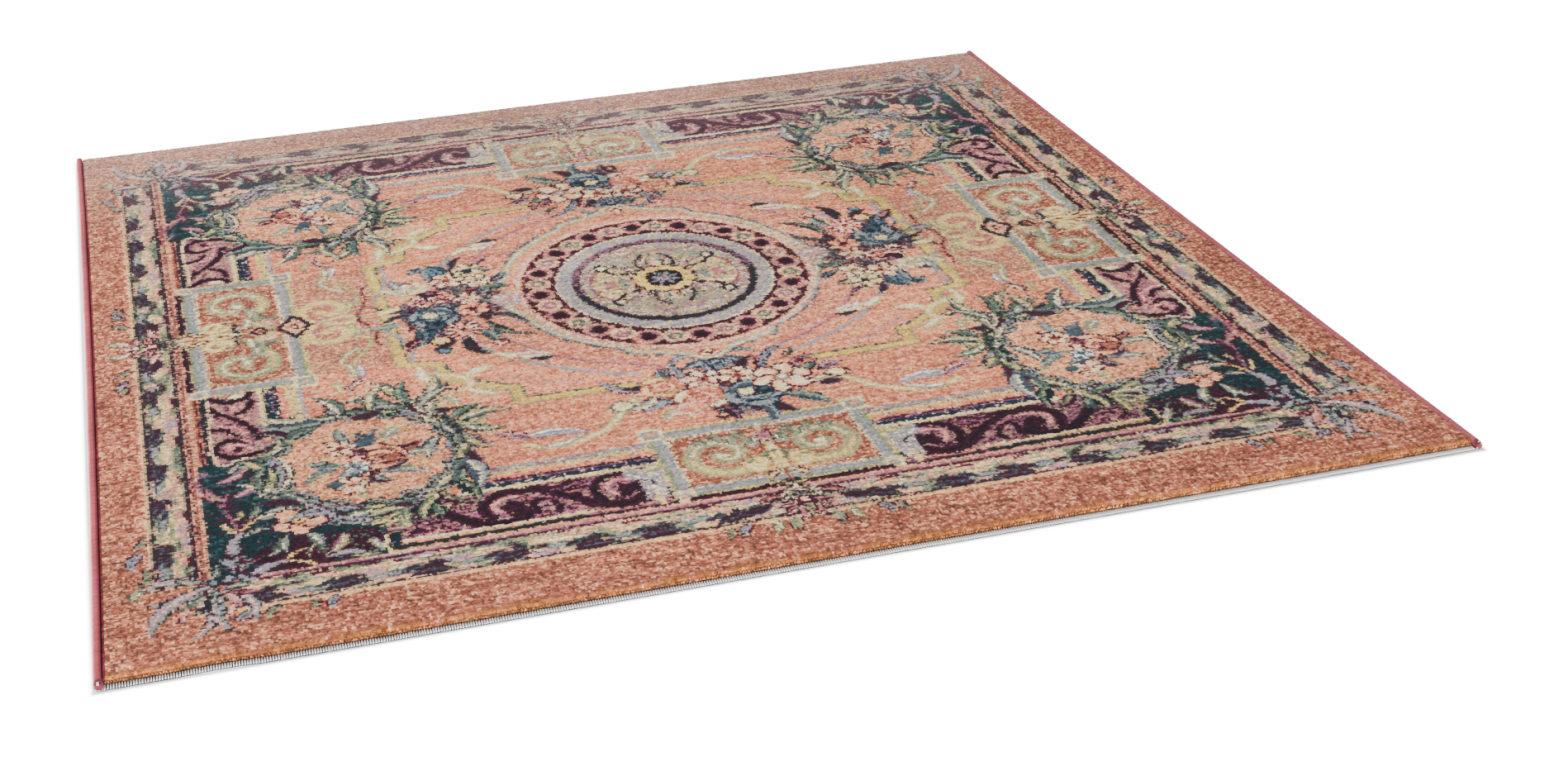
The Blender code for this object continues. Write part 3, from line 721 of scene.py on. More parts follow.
def cartouches(weave):
    """Framed panels with paired volutes at the middle of each side."""
    weave.ground((0.0, 0.585), (0.160, 0.762), PANEL_MIX, 0.5)
    weave.ground((0.655, 0.0), (0.815, 0.205), PANEL_MIX, 0.5)
    large = ("olive", "olive", "straw")
    small = ("ochre", "straw", "cream")
    eye = ("sage", "olive", "cream")
    leafy = ("moss", "sage", "olive", "mist")
    # end panel: the same strokes are turned for the side panel
    scrolls = (
        (curve([(0.026, 0.716), (0.058, 0.730), (0.098, 0.724), (0.122, 0.696), (0.120, 0.656), (0.092, 0.634), (0.060, 0.642),
                (0.048, 0.668), (0.058, 0.690), (0.078, 0.690), (0.084, 0.674)], 4), 0.0150, 0.0110, large),
        (curve([(0.120, 0.670), (0.106, 0.642), (0.080, 0.634), (0.058, 0.646), (0.050, 0.668), (0.060, 0.688), (0.078, 0.688),
                (0.082, 0.674)], 4), 0.0090, 0.0090, eye),
        (spiral((0.031, 0.716), 100, -1.2, 0.020, 0.006), 0.0090, 0.0066, small),
        (curve([(0.001, 0.664), (0.006, 0.690), (0.004, 0.742)], 5), 0.0060, 0.0050, small),
        (curve([(0.012, 0.690), (0.030, 0.694), (0.048, 0.712)], 5), 0.0036, 0.0026, ("moss", "olive", "olive")),
    )
    for path, wide, narrow, yarns in scrolls:
        volute(weave, path, wide, narrow, yarns)
    leaves(weave, (
        (0.050, 0.648, 250, 0.036, 0.0100, leafy), (0.066, 0.640, 300, 0.034, 0.0085, leafy),
        (0.026, 0.664, 220, 0.044, 0.0105, ("sage", "mist", "white", "olive")), (0.032, 0.660, 280, 0.040, 0.0085, leafy),
        (0.016, 0.628, 100, 0.034, 0.0080, ("moss", "olive", "cream", "sage")), (0.090, 0.640, 330, 0.030, 0.0070, leafy),
        (0.004, 0.612, 80, 0.046, 0.0110, ("plum", "rose", "cream", "mauve")), (0.030, 0.612, 30, 0.026, 0.0060, leafy),
        (0.066, 0.676, 350, 0.020, 0.0060, ("cream", "cream", "white", "white")),
        (0.020, 0.748, 190, 0.028, 0.0085, ("moss", "straw", "cream", "olive")), (0.004, 0.755, 90, 0.034, 0.0095, ("charcoal", "olive", "straw", "brick")),
    ))
    scrolls = (
        (curve([(0.690, 0.014), (0.714, 0.040), (0.706, 0.078), (0.692, 0.114), (0.704, 0.152), (0.738, 0.170), (0.772, 0.154),
                (0.780, 0.118), (0.758, 0.094), (0.736, 0.104), (0.740, 0.128)], 4), 0.0130, 0.0110, large),
        (curve([(0.700, 0.148), (0.738, 0.168), (0.770, 0.152), (0.778, 0.120), (0.758, 0.096), (0.738, 0.106), (0.742, 0.126)], 4),
         0.0076, 0.0080, eye),
        (spiral((0.782, 0.040), 190, 1.2, 0.024, 0.007), 0.0090, 0.0066, small),
        (curve([(0.740, 0.0), (0.765, 0.008), (0.806, 0.004)], 5), 0.0060, 0.0050, small),
        (curve([(0.742, 0.010), (0.748, 0.036), (0.764, 0.060)], 5), 0.0036, 0.0026, ("navy", "mist", "olive")),
    )
    for path, wide, narrow, yarns in scrolls:
        volute(weave, path, wide, narrow, yarns)
    leaves(weave, (
        (0.712, 0.040, 75, 0.056, 0.0120, leafy), (0.718, 0.060, 110, 0.050, 0.0100, ("sage", "mist", "olive", "cream")),
        (0.736, 0.020, 100, 0.044, 0.0100, ("sage", "olive", "cream", "white")), (0.704, 0.030, 150, 0.040, 0.0090, leafy),
        (0.680, 0.018, 30, 0.040, 0.0085, ("rose", "pink", "cream", "straw")), (0.812, 0.020, 20, 0.036, 0.0080, ("moss", "straw", "cream", "olive")),
        (0.738, 0.106, 80, 0.018, 0.0060, ("cream", "cream", "white", "white")),
    ))
    lines(weave, (([(0.722, 0.0), (0.708, 0.014), (0.694, 0.0)], 0.0032, "plum", "charcoal"),
                  ([(0.740, 0.004), (0.752, 0.014), (0.746, 0.040)], 0.0026, "navy", "navy"),
                  ([(0.0, 0.684), (0.016, 0.694), (0.010, 0.712)], 0.0024, "moss", "moss")))
    panel_frame(weave, (-0.2, 0.588), (0.160, 0.768), (((0.164, 0.580), 0.013), ((0.160, 0.776), 0.008)))
    panel_frame(weave, (0.654, -0.2), (0.820, 0.210), (((0.650, 0.218), 0.013), ((0.824, 0.214), 0.008)))
    lines(weave, (
        ([(0.016, 0.788), (0.150, 0.788)], 0.0060, "plum", "aubergine"),
        ([(0.836, 0.030), (0.836, 0.196)], 0.0052, "plum", "aubergine"),
        ([(0.848, 0.0), (0.848, 0.790)], 0.0022, "brick", "plum"),
    ), 0.3)
    fan(weave, (0.0, 0.772), 90, 60, 0.040, 5, ("charcoal", "olive", "straw", "brick"), 0.22)
    fan(weave, (0.826, 0.0), 0, 60, 0.040, 5, ("charcoal", "olive", "straw", "brick"), 0.22)
    leaves(weave, (
        (0.0, 0.736, 90, 0.066, 0.0130, ("brick", "straw", "cream", "apricot")), (0.010, 0.748, 50, 0.034, 0.0080, ("plum", "ochre", "straw", "cream")),
        (0.786, 0.0, 0, 0.072, 0.0120, ("brick", "straw", "cream", "apricot")), (0.796, 0.012, 34, 0.040, 0.0080, ("plum", "ochre", "straw", "cream")),
    ))
    diamond = [(0.674, 0.0), (0.648, 0.046), (0.622, 0.0), (0.648, -0.046), (0.674, 0.0)]
    weave.disc((0.648, 0.0), (0.018, 0.030), (("peach", 0.5), ("rose", 0.3), ("straw", 0.2)))
    weave.stroke(diamond, 0.0046, ((1.0, "charcoal", "plum"),), 0.25)
    dots(weave, ((0.648, 0.0, 0.0075, 0.011, "plum"), (0.648, 0.0, 0.004, 0.006, "peach")))


def inner_scrolls(weave):
    """Diamonds and double scrolls that stand inside the side panels, and ribbons round them."""
    pale = ("olive", "straw", "cream")
    leafy = ("sage", "olive", "straw")
    weave.ground((0.505, 0.0), (0.638, 0.200), SIDE_MIX, 0.5)
    scrolls = (
        (curve([(0.620, 0.006), (0.634, 0.030), (0.628, 0.064), (0.600, 0.084), (0.570, 0.072), (0.562, 0.044),
                (0.582, 0.030), (0.600, 0.042)], 5), 0.0150, 0.0110, ("rose", "straw", "straw")),
        (curve([(0.560, 0.020), (0.546, 0.052), (0.552, 0.086)], 5), 0.0075, 0.0040, leafy),
        (curve([(0.536, 0.000), (0.560, 0.014), (0.600, 0.006)], 5), 0.0120, 0.0090, ("rose", "olive", "straw")),
        (curve([(0.534, 0.060), (0.530, 0.100), (0.546, 0.140), (0.562, 0.166), (0.570, 0.190)], 5), 0.0046, 0.0040, leafy),
        (curve([(0.552, 0.120), (0.580, 0.150), (0.586, 0.180), (0.566, 0.216)], 5), 0.0070, 0.0036, ("sage", "olive", "cream")),
    )
    for path, wide, narrow, yarns in scrolls:
        volute(weave, path, wide, narrow, yarns)
    lines(weave, (
        ([(0.536, 0.0), (0.541, 0.012), (0.529, 0.032), (0.522, 0.060)], 0.0030, "plum", "brick"),
        ([(0.516, 0.070), (0.520, 0.100), (0.514, 0.130)], 0.0022, "plum", "brick"),
    ))
    # thin ribbons and pale leaves in the outer field
    leaves(weave, (
        (0.566, 0.188, 86, 0.055, 0.0085, ("mauve", "lavender", "white", "lavender")),
        (0.560, 0.240, 60, 0.055, 0.0080, ("plum", "mauve", "cream", "lavender")),
        (0.590, 0.170, 100, 0.070, 0.0075, ("sage", "olive", "cream", "cream")),
        (0.600, 0.230, 100, 0.060, 0.0065, ("olive", "straw", "cream", "olive")),
    ))
    lines(weave, (
        ([(0.500, 0.070), (0.480, 0.110), (0.470, 0.160), (0.474, 0.200)], 0.0040, "lavender", "mist"),
        ([(0.420, 0.010), (0.404, 0.050), (0.410, 0.090)], 0.0034, "mist", "straw"),
    ))


def field_line(weave):
    """The stepped gold line round the inner field, with pale leaves at its corners."""
    weave.ground((0.0, 0.0), (0.486, 0.395), FIELD_MIX, 0.9, (2, 18))
    path = np.array(FIELD_LINE)
    weave.stroke(path, 0.0122, ((1.0, "slate", "sage"), (0.76, "ochre", "ochre"), (0.25, "straw", "ochre")), 0.14)
    pale = ("olive", "straw", "cream")
    volute(weave, curve([(0.452, 0.262), (0.428, 0.272), (0.400, 0.292), (0.396, 0.318), (0.416, 0.332), (0.430, 0.318)], 5), 0.0105, 0.0050, pale)
    leaves(weave, (
        (0.446, 0.300, 282, 0.080, 0.0120, ("olive", "straw", "cream", "white")),
        (0.404, 0.330, 150, 0.060, 0.0110, ("olive", "straw", "cream", "white")),
        (0.396, 0.284, 200, 0.052, 0.0110, ("straw", "cream", "white", "cream")),
        (0.430, 0.340, 60, 0.060, 0.0085, ("olive", "straw", "cream", "olive")),
        (0.452, 0.336, 110, 0.060, 0.0085, ("sage", "olive", "cream", "olive")),
    ))
    lines(weave, (([(0.432, 0.302), (0.436, 0.318), (0.424, 0.326), (0.414, 0.318)], 0.0026, "charcoal", "charcoal"),
                  ([(0.458, 0.330), (0.470, 0.358), (0.490, 0.372)], 0.0026, "moss", "brick")))


def outer_ribbons(weave):
    """Long pale scrolls between the roundels and the end bouquets."""
    volute(weave, curve([(0.160, 0.455), (0.186, 0.490), (0.214, 0.528), (0.262, 0.560), (0.316, 0.566), (0.352, 0.548)], 6),
           0.0085, 0.0060, ("olive", "straw", "cream"))
    volute(weave, curve([(0.250, 0.534), (0.300, 0.532), (0.350, 0.524), (0.386, 0.504)], 6), 0.0030, 0.0050,
           ("mauve", "lavender", "pink"))
    leaves(weave, (
        (0.352, 0.530, 176, 0.100, 0.0120, ("mist", "lavender", "white", "mist")),
        (0.330, 0.562, 200, 0.080, 0.0085, ("sage", "mist", "cream", "white")),
        (0.386, 0.504, 150, 0.060, 0.0100, ("plum", "mauve", "pink", "lavender")),
        (0.400, 0.500, 280, 0.050, 0.0085, ("sage", "olive", "cream", "straw")),
        (0.200, 0.470, 190, 0.034, 0.0070, ("plum", "straw", "cream", "straw")),
        (0.420, 0.450, 250, 0.070, 0.0100, ("sage", "olive", "cream", "moss")),
    ))
    lines(weave, (([(0.350, 0.300), (0.280, 0.352), (0.230, 0.372)], 0.0024, "lavender", "rose"),))


def medallion_surround(weave):
    """The ogee rope, thin ribbon arcs and pale leaves round the medallion."""
    weave.ring((0.0, 0.0), (0.378, 0.345), 0.040, HALO_MIX)
    weave.ring((0.0, 0.0), (0.300, 0.325), 0.036, HALO_MIX)
    weave.stroke(curve([(0.400, 0.105), (0.350, 0.195), (0.290, 0.270), (0.210, 0.330), (0.130, 0.372)]), 0.0044,
                 ((1.0, "lavender", "mist"),), 0.4)
    weave.stroke(curve([(0.330, 0.120), (0.290, 0.200), (0.240, 0.262), (0.170, 0.312), (0.090, 0.350)]), 0.0036,
                 ((1.0, "rose", "mauve"),), 0.4)
    leaves(weave, (
        (0.345, 0.205, 22, 0.012, 0.006, PALE_LEAF), (0.340, 0.214, 160, 0.100, 0.0140, ("olive", "straw", "cream", "white")),
        (0.316, 0.238, 172, 0.066, 0.0090, ("rose", "cream", "white", "cream")),
        (0.286, 0.254, 176, 0.044, 0.0075, DARK_GAP), (0.300, 0.246, 10, 0.030, 0.006, ("brick", "rose", "pink", "rose")),
    ))
    ogee = curve([(0.0, 0.352), (0.020, 0.338), (0.045, 0.318), (0.078, 0.302), (0.120, 0.287)], 4)
    round_part = arc((0, 0), (0.276, 0.298), 62, 16, 18)
    side = curve([(0.272, 0.070), (0.284, 0.040), (0.300, 0.016), (0.322, 0.0)], 4)
    path = np.concatenate([ogee, round_part, side])
    weave.stroke(path, 0.0086, ((1.0, "mist", "olive"), (0.66, "straw", "straw"), (0.34, "cream", "lavender")), 0.25)
    weave.stroke(path * 1.034, 0.0026, ((1.0, "slate", "mist"),), 1.6)
    fan(weave, (0.0, 0.352), 90, 50, 0.060, 5, ("navy", "mist", "lavender", "slate"), 0.18)
    fan(weave, (0.326, 0.0), 0, 44, 0.044, 3, ("plum", "olive", "cream", "slate"), 0.22)
    fan(weave, (0.0, 0.342), -90, 60, 0.036, 3, ("plum", "terracotta", "peach", "cream"), 0.28)
    leaves(weave, ((0.020, 0.350, 30, 0.052, 0.009, ("navy", "slate", "mist", "mist")),
                   (0.040, 0.330, 40, 0.040, 0.007, ("slate", "mist", "lavender", "mist"))))


def quarter_design(rng):
    columns = COLUMNS // 2
    rows = ROWS // 2
    weave = Weave((0.0, 0.0), REACH, columns, rows, rng)
    for step in (borders, leaf_border, field_line, mouldings, corner_ground, scroll_panels, inner_scrolls,
                 outer_ribbons, cartouches, roundel, middle_palmettes, corner_palmette, medallion_surround):
        step(weave)
    return weave


def medallion(weave):
    centre = (0.007, -0.014)
    tall = 1.080

    def oval(radius):
        return (radius, radius * tall)

    def spot(angle, reach):
        turn = math.radians(angle)
        return (centre[0] + reach * math.cos(turn), centre[1] + reach * tall * math.sin(turn))

    weave.ring(centre, oval(0.2620), 0.0062, (("cream", 0.40), ("pink", 0.35), ("rose", 0.25)))
    weave.ring(centre, oval(0.1290), 0.130, (("plum", 0.60), ("aubergine", 0.25), ("brick", 0.15)))
    for index in range(16):
        point = spot(90 + 22.5 * index, 0.2260)
        weave.disc(point, (0.0262, 0.0275), RIM_MIX)
    for index in range(16):
        point = spot(101.25 + 22.5 * index, 0.2240)
        weave.disc(point, (0.0225, 0.0240), (("peach", 0.34), ("cream", 0.22), ("olive", 0.26), ("rose", 0.18)))
        weave.ring(point, (0.0100, 0.0105), 0.0030, "moss" if index % 2 else "mauve")
        weave.disc(point, (0.0048, 0.0052), "pink")
        weave.disc(point, (0.0022, 0.0022), "charcoal")
    for index in range(16):
        point = spot(90 + 22.5 * index, 0.2260)
        weave.ring(point, (0.0190, 0.0200), 0.0022, "rose")
        weave.disc(point, (0.0155, 0.0165), "plum")
        weave.disc(point, (0.0100, 0.0105), "aubergine")
    weave.ring(centre, oval(0.1965), 0.0036, "plum")
    weave.ring(centre, oval(0.1790), 0.0150, (("lavender", 0.60), ("mist", 0.24), ("straw", 0.16)))
    weave.ring(centre, oval(0.1925), 0.0020, "cream")
    weave.ring(centre, oval(0.1590), 0.0068, (("mauve", 0.60), ("charcoal", 0.40)))
    weave.stroke(np.array([spot(angle, 0.1590) for angle in range(190, 362, 6)]), 0.0064, ((1.0, "charcoal", "charcoal"),))
    weave.ring(centre, oval(0.0760), 0.0775, DISC_MIX)
    weave.ring(centre, oval(0.1380), 0.0130, (("lavender", 0.26), ("olive", 0.36), ("cream", 0.22), ("mauve", 0.16)))
    collar = (("charcoal", "mist", "cream", "olive"), ("plum", "straw", "cream", "straw"), ("moss", "olive", "straw", "mist"))
    for index in range(18):
        leaf(weave, centre, 20 * (index + 0.5), 0.096 if index % 2 else 0.114, 0.0100, collar[index % 3], 0.22)
    # shells left and right, with curled black outlines
    for side in (-1, 1):
        facing = 0 if side > 0 else 180
        heart = (centre[0] + side * 0.062, centre[1])
        weave.disc((centre[0] + side * 0.088, centre[1]), (0.048, 0.074), "mauve")
        weave.disc((centre[0] + side * 0.088, centre[1]), (0.042, 0.068), (("straw", 0.55), ("cream", 0.35), ("sage", 0.10)))
        fan(weave, heart, facing, 76, 0.076, 5, ("mauve", "straw", "cream", "olive"), 0.22)
        weave.disc((centre[0] + side * 0.066, centre[1]), (0.016, 0.046), (("mist", 0.5), ("olive", 0.3), ("moss", 0.2)))
        weave.disc((centre[0] + side * 0.098, centre[1]), (0.010, 0.016), "rose")
        for lift in (-1, 1):
            curl = (centre[0] + side * 0.098, centre[1] + lift * 0.076)
            start = (centre[0] + side * 0.056, centre[1] + lift * 0.038)
            weave.stroke(bow(start, curl, -0.22 * side * lift), 0.0040, ((1.0, "charcoal", "plum"),))
            path = spiral(curl, 90 * lift, -side * lift * 0.85, 0.013, 0.010)
            weave.stroke(path, 0.0036, ((1.0, "charcoal", "charcoal"),))
            weave.disc(curl, (0.007, 0.008), "cream")
            rim = [(centre[0] + side * 0.120, centre[1] + lift * 0.020), (centre[0] + side * 0.128, centre[1] + lift * 0.040),
                   (centre[0] + side * 0.112, centre[1] + lift * 0.058)]
            weave.stroke(curve(rim), 0.0032, ((1.0, "rose", "brick"),), 0.5)
    for lift in (-1, 1):
        up = 90 * lift
        for spread, reach, yarns in ((56, 0.096, ("rose", "straw", "cream", "olive")), (-56, 0.096, ("rose", "straw", "cream", "olive")),
                                     (34, 0.104, ("charcoal", "pink", "cream", "mauve")), (-34, 0.104, ("charcoal", "pink", "cream", "mauve")),
                                     (16, 0.110, ("rose", "mist", "cream", "olive")), (-16, 0.110, ("rose", "mist", "cream", "olive")),
                                     (0, 0.100, ("olive", "cream", "pink", "rose"))):
            leaf(weave, centre, up + spread, reach, 0.0110, yarns, spread / 260)
        for side in (-1, 1):
            curl = [(centre[0] + side * 0.006, centre[1] + lift * 0.124), (centre[0] + side * 0.022, centre[1] + lift * 0.132),
                    (centre[0] + side * 0.040, centre[1] + lift * 0.122), (centre[0] + side * 0.044, centre[1] + lift * 0.108)]
            weave.stroke(curve(curl), 0.0032, ((1.0, "mauve", "rose"),), 0.3)
            blade = [(centre[0] + side * 0.030, centre[1] + lift * 0.055), (centre[0] + side * 0.034, centre[1] + lift * 0.082),
                     (centre[0] + side * 0.018, centre[1] + lift * 0.110)]
            weave.stroke(curve(blade), 0.0034, ((1.0, "charcoal", "plum"),), 0.3)
    # the yellow rosette and its plum star
    for index in range(12):
        weave.disc(polar(centre, 15 + 30 * index, 0.044), (0.0165, 0.0175), "charcoal" if index % 3 else "plum")
    for index in range(12):
        weave.disc(polar(centre, 15 + 30 * index, 0.043), (0.0130, 0.0138), "yellow")
        weave.disc(polar(centre, 30 * index, 0.040), (0.0045, 0.0045), "olive")
    weave.disc(centre, (0.040, 0.042), "yellow")
    weave.disc(centre, (0.034, 0.036), "aubergine")
    for index in range(8):
        angle = 22.5 + 45 * index
        leaf(weave, polar(centre, angle, 0.008), angle, 0.024, 0.0072, ("charcoal", "lavender", "mist", "mist"), 0)
    weave.disc(centre, (0.0090, 0.0095), "lavender")
    weave.disc(centre, (0.0045, 0.005), "brick")


# Bouquets, from their own middle. Leaves: x, y, angle, length, half width, yarns.
# Flowers: kind, x, y, radius, yarns, turn.
# Beds: x, y and half sizes of the dark ground that shows between blooms.
END_BED = ((-0.016, 0.006, 0.100, 0.024), (0.0, -0.040, 0.080, 0.050), (0.096, 0.010, 0.040, 0.030),
           (-0.100, -0.014, 0.040, 0.028), (0.000, -0.090, 0.050, 0.016))
SIDE_BED = ((0.000, 0.000, 0.050, 0.070), (0.030, 0.080, 0.034, 0.050), (0.000, -0.100, 0.040, 0.036),
            (0.070, 0.000, 0.040, 0.060), (-0.060, -0.020, 0.020, 0.060))
ROUNDEL_BED = ((0.002, 0.012, 0.024, 0.024), (-0.020, -0.030, 0.016, 0.024))
END_LEAVES = (
    (-0.130, 0.020, 140, 0.090, 0.0110, ("plum", "mist", "lavender", "slate")), (-0.110, 0.000, 150, 0.070, 0.0120, DARK_GAP),
    (-0.080, 0.040, 110, 0.050, 0.0120, ("navy", "slate", "mist", "slate")), (-0.064, 0.050, 130, 0.050, 0.0100, ("navy", "slate", "mist", "navy")),
    (-0.050, 0.030, 100, 0.090, 0.0110, ("plum", "mist", "lavender", "slate")), (-0.024, 0.040, 104, 0.070, 0.0090, ("navy", "lavender", "mist", "slate")),
    (0.030, 0.030, 60, 0.070, 0.0110, DARK_GAP), (0.050, 0.020, 80, 0.070, 0.0100, RED_LEAF),
    (0.066, 0.030, 52, 0.110, 0.0090, ("navy", "mist", "lavender", "slate")), (0.108, 0.068, 56, 0.040, 0.0080, ("charcoal", "moss", "peach", "charcoal")),
    (0.110, 0.020, 40, 0.070, 0.0090, ("plum", "mauve", "rose", "plum")), (0.126, 0.006, 70, 0.060, 0.0100, GREEN_LEAF),
    (0.150, 0.000, 20, 0.050, 0.0110, ("plum", "mauve", "lavender", "plum")), (0.130, -0.030, 350, 0.050, 0.0120, DARK_GAP),
    (0.120, -0.040, 10, 0.060, 0.0110, ("plum", "olive", "cream", "sage")), (0.100, -0.050, 300, 0.070, 0.0130, ("moss", "sage", "olive", "mist")),
    (0.066, -0.060, 320, 0.090, 0.0140, ("deep_teal", "slate", "sage", "mist")), (0.050, -0.070, 300, 0.060, 0.0130, DARK_GAP),
    (0.020, -0.070, 276, 0.080, 0.0120, ("navy", "slate", "mist", "slate")), (-0.006, -0.060, 262, 0.060, 0.0140, DARK_GAP),
    (-0.036, -0.070, 280, 0.060, 0.0120, ("charcoal", "plum", "mauve", "charcoal")), (-0.090, -0.060, 220, 0.050, 0.0120, ("sage", "olive", "cream", "mist")),
    (-0.110, -0.020, 200, 0.060, 0.0120, ("slate", "mist", "lavender", "mist")), (-0.130, -0.034, 180, 0.060, 0.0080, DARK_GAP),
    (-0.126, -0.006, 210, 0.060, 0.0120, ("plum", "mist", "cream", "olive")), (-0.150, -0.020, 190, 0.060, 0.0110, ("olive", "straw", "cream", "olive")),
    (-0.020, -0.010, 210, 0.050, 0.0160, DARK_GAP), (0.060, -0.040, 250, 0.050, 0.0140, DARK_GAP),
)
END_FLOWERS = (
    ("rose", -0.105, 0.022, 0.040, ("brick", "terracotta", "peach", "straw"), 20), ("flower", -0.036, 0.028, 0.032, ("plum", "pink", "cream", "brick"), 40),
    ("flower", 0.020, 0.026, 0.030, ("plum", "peach", "cream", "brick"), 70), ("rose", -0.056, -0.034, 0.046, ("brick", "terracotta", "pink", "cream"), 60),
    ("rose", -0.082, -0.064, 0.026, ("rose", "salmon", "peach", "cream"), 10), ("rose", 0.028, -0.044, 0.050, BLUE_ROSE, 100),
    ("flower", 0.086, -0.004, 0.044, ("plum", "peach", "cream", "plum"), 10), ("bud", 0.086, -0.004, 0.015, ("brick", "cream", "mist", "mist"), 10), ("bud", -0.182, -0.020, 0.020, ("moss", "straw", "cream", "cream"), 0),
    ("bud", 0.176, -0.014, 0.018, ("plum", "straw", "cream", "cream"), 0), ("bud", 0.148, 0.040, 0.013, RED_ROSE, 0),
    ("bud", -0.040, -0.100, 0.012, ("charcoal", "peach", "plum", "plum"), 0), ("bud", 0.018, -0.034, 0.018, ("charcoal", "straw", "cream", "cream"), 0),
    ("bud", 0.046, -0.036, 0.016, ("charcoal", "slate", "navy", "navy"), 0), ("bud", -0.060, -0.020, 0.010, ("brick", "brick", "salmon", "brick"), 0),
)
SIDE_LEAVES = (
    (-0.060, 0.000, 150, 0.070, 0.0090, DARK_GAP), (-0.060, -0.020, 205, 0.060, 0.0080, DARK_GAP),
    (-0.062, 0.020, 262, 0.110, 0.0120, ("charcoal", "plum", "plum", "mauve")), (-0.075, 0.010, 200, 0.050, 0.0110, ("olive", "straw", "cream", "straw")),
    (-0.080, -0.046, 180, 0.070, 0.0110, ("slate", "mist", "sage", "mist")), (-0.060, 0.060, 140, 0.060, 0.0110, ("mist", "straw", "cream", "olive")),
    (-0.040, 0.080, 120, 0.070, 0.0130, ("slate", "blue", "mist", "cream")), (-0.010, 0.110, 100, 0.070, 0.0150, ("navy", "blue", "mist", "slate")),
    (-0.020, 0.100, 150, 0.050, 0.0120, DARK_GAP), (0.020, 0.130, 120, 0.060, 0.0130, BLUE_LEAF),
    (0.040, 0.150, 66, 0.056, 0.0090, DARK_GAP), (0.070, 0.160, 40, 0.050, 0.0060, ("plum", "mauve", "lavender", "plum")),
    (0.060, 0.110, 20, 0.060, 0.0120, ("navy", "slate", "olive", "cream")), (0.090, 0.080, 40, 0.050, 0.0100, ("charcoal", "slate", "navy", "mist")),
    (0.070, 0.050, 350, 0.060, 0.0110, GREEN_LEAF), (0.060, 0.020, 320, 0.060, 0.0100, ("charcoal", "moss", "mist", "moss")),
    (0.034, 0.020, 262, 0.060, 0.0160, DARK_GAP), (0.074, -0.040, 260, 0.050, 0.0140, DARK_GAP),
    (0.060, -0.060, 320, 0.090, 0.0080, ("charcoal", "moss", "slate", "plum")), (0.060, -0.080, 310, 0.110, 0.0110, ("charcoal", "moss", "charcoal", "sage")),
    (0.040, -0.120, 290, 0.060, 0.0130, ("teal", "slate", "mist", "sage")), (0.020, -0.140, 285, 0.080, 0.0130, ("charcoal", "charcoal", "plum", "charcoal")),
    (-0.010, -0.130, 230, 0.060, 0.0120, DARK_GAP), (-0.030, -0.090, 250, 0.060, 0.0160, ("navy", "teal", "slate", "navy")),
    (-0.060, -0.080, 256, 0.080, 0.0130, BLUE_LEAF), (-0.050, -0.120, 230, 0.060, 0.0100, ("plum", "plum", "rose", "plum")),
    (-0.002, -0.080, 270, 0.050, 0.0130, DARK_GAP), (0.020, -0.020, 250, 0.070, 0.0120, ("navy", "mist", "cream", "mist")),
    (0.012, 0.060, 240, 0.050, 0.0120, DARK_GAP), (0.050, -0.020, 230, 0.060, 0.0100, DARK_GAP),
)
SIDE_FLOWERS = (
    ("rose", -0.026, -0.044, 0.046, BLUE_ROSE, 60), ("bud", -0.030, -0.034, 0.017, ("slate", "straw", "cream", "cream"), 0),
    ("bud", -0.026, -0.078, 0.020, ("navy", "deep_teal", "slate", "navy"), 0), ("rose", -0.034, 0.028, 0.027, ("plum", "rose", "pink", "cream"), 10),
    ("rose", 0.000, 0.036, 0.026, ("plum", "salmon", "pink", "cream"), 80), ("bud", -0.020, 0.056, 0.018, ("aubergine", "mauve", "plum", "plum"), 0),
    ("flower", -0.040, 0.090, 0.024, ("mist", "straw", "cream", "olive"), 10), ("flower", 0.020, 0.104, 0.028, ("plum", "peach", "cream", "brick"), 0),
    ("flower", 0.062, 0.136, 0.027, ("charcoal", "straw", "cream", "navy"), 30), ("flower", 0.072, 0.088, 0.024, ("charcoal", "peach", "cream", "olive"), 0),
    ("flower", 0.046, 0.016, 0.022, ("plum", "pink", "cream", "straw"), 50), ("flower", 0.046, -0.030, 0.026, ("plum", "salmon", "peach", "plum"), 20),
    ("daisy", 0.110, -0.010, 0.030, ("mist", "rose", "pink", "white"), 0), ("daisy", 0.016, -0.110, 0.036, ("plum", "salmon", "pink", "white"), 20),
    ("bud", -0.028, -0.140, 0.021, ("plum", "peach", "straw", "cream"), 0), ("bud", -0.028, -0.180, 0.013, ("navy", "slate", "blue", "mist"), 0),
    ("bud", 0.068, -0.178, 0.014, ("aubergine", "brick", "pink", "rose"), 0), ("bud", -0.030, 0.165, 0.014, ("navy", "teal", "mist", "white"), 0),
)
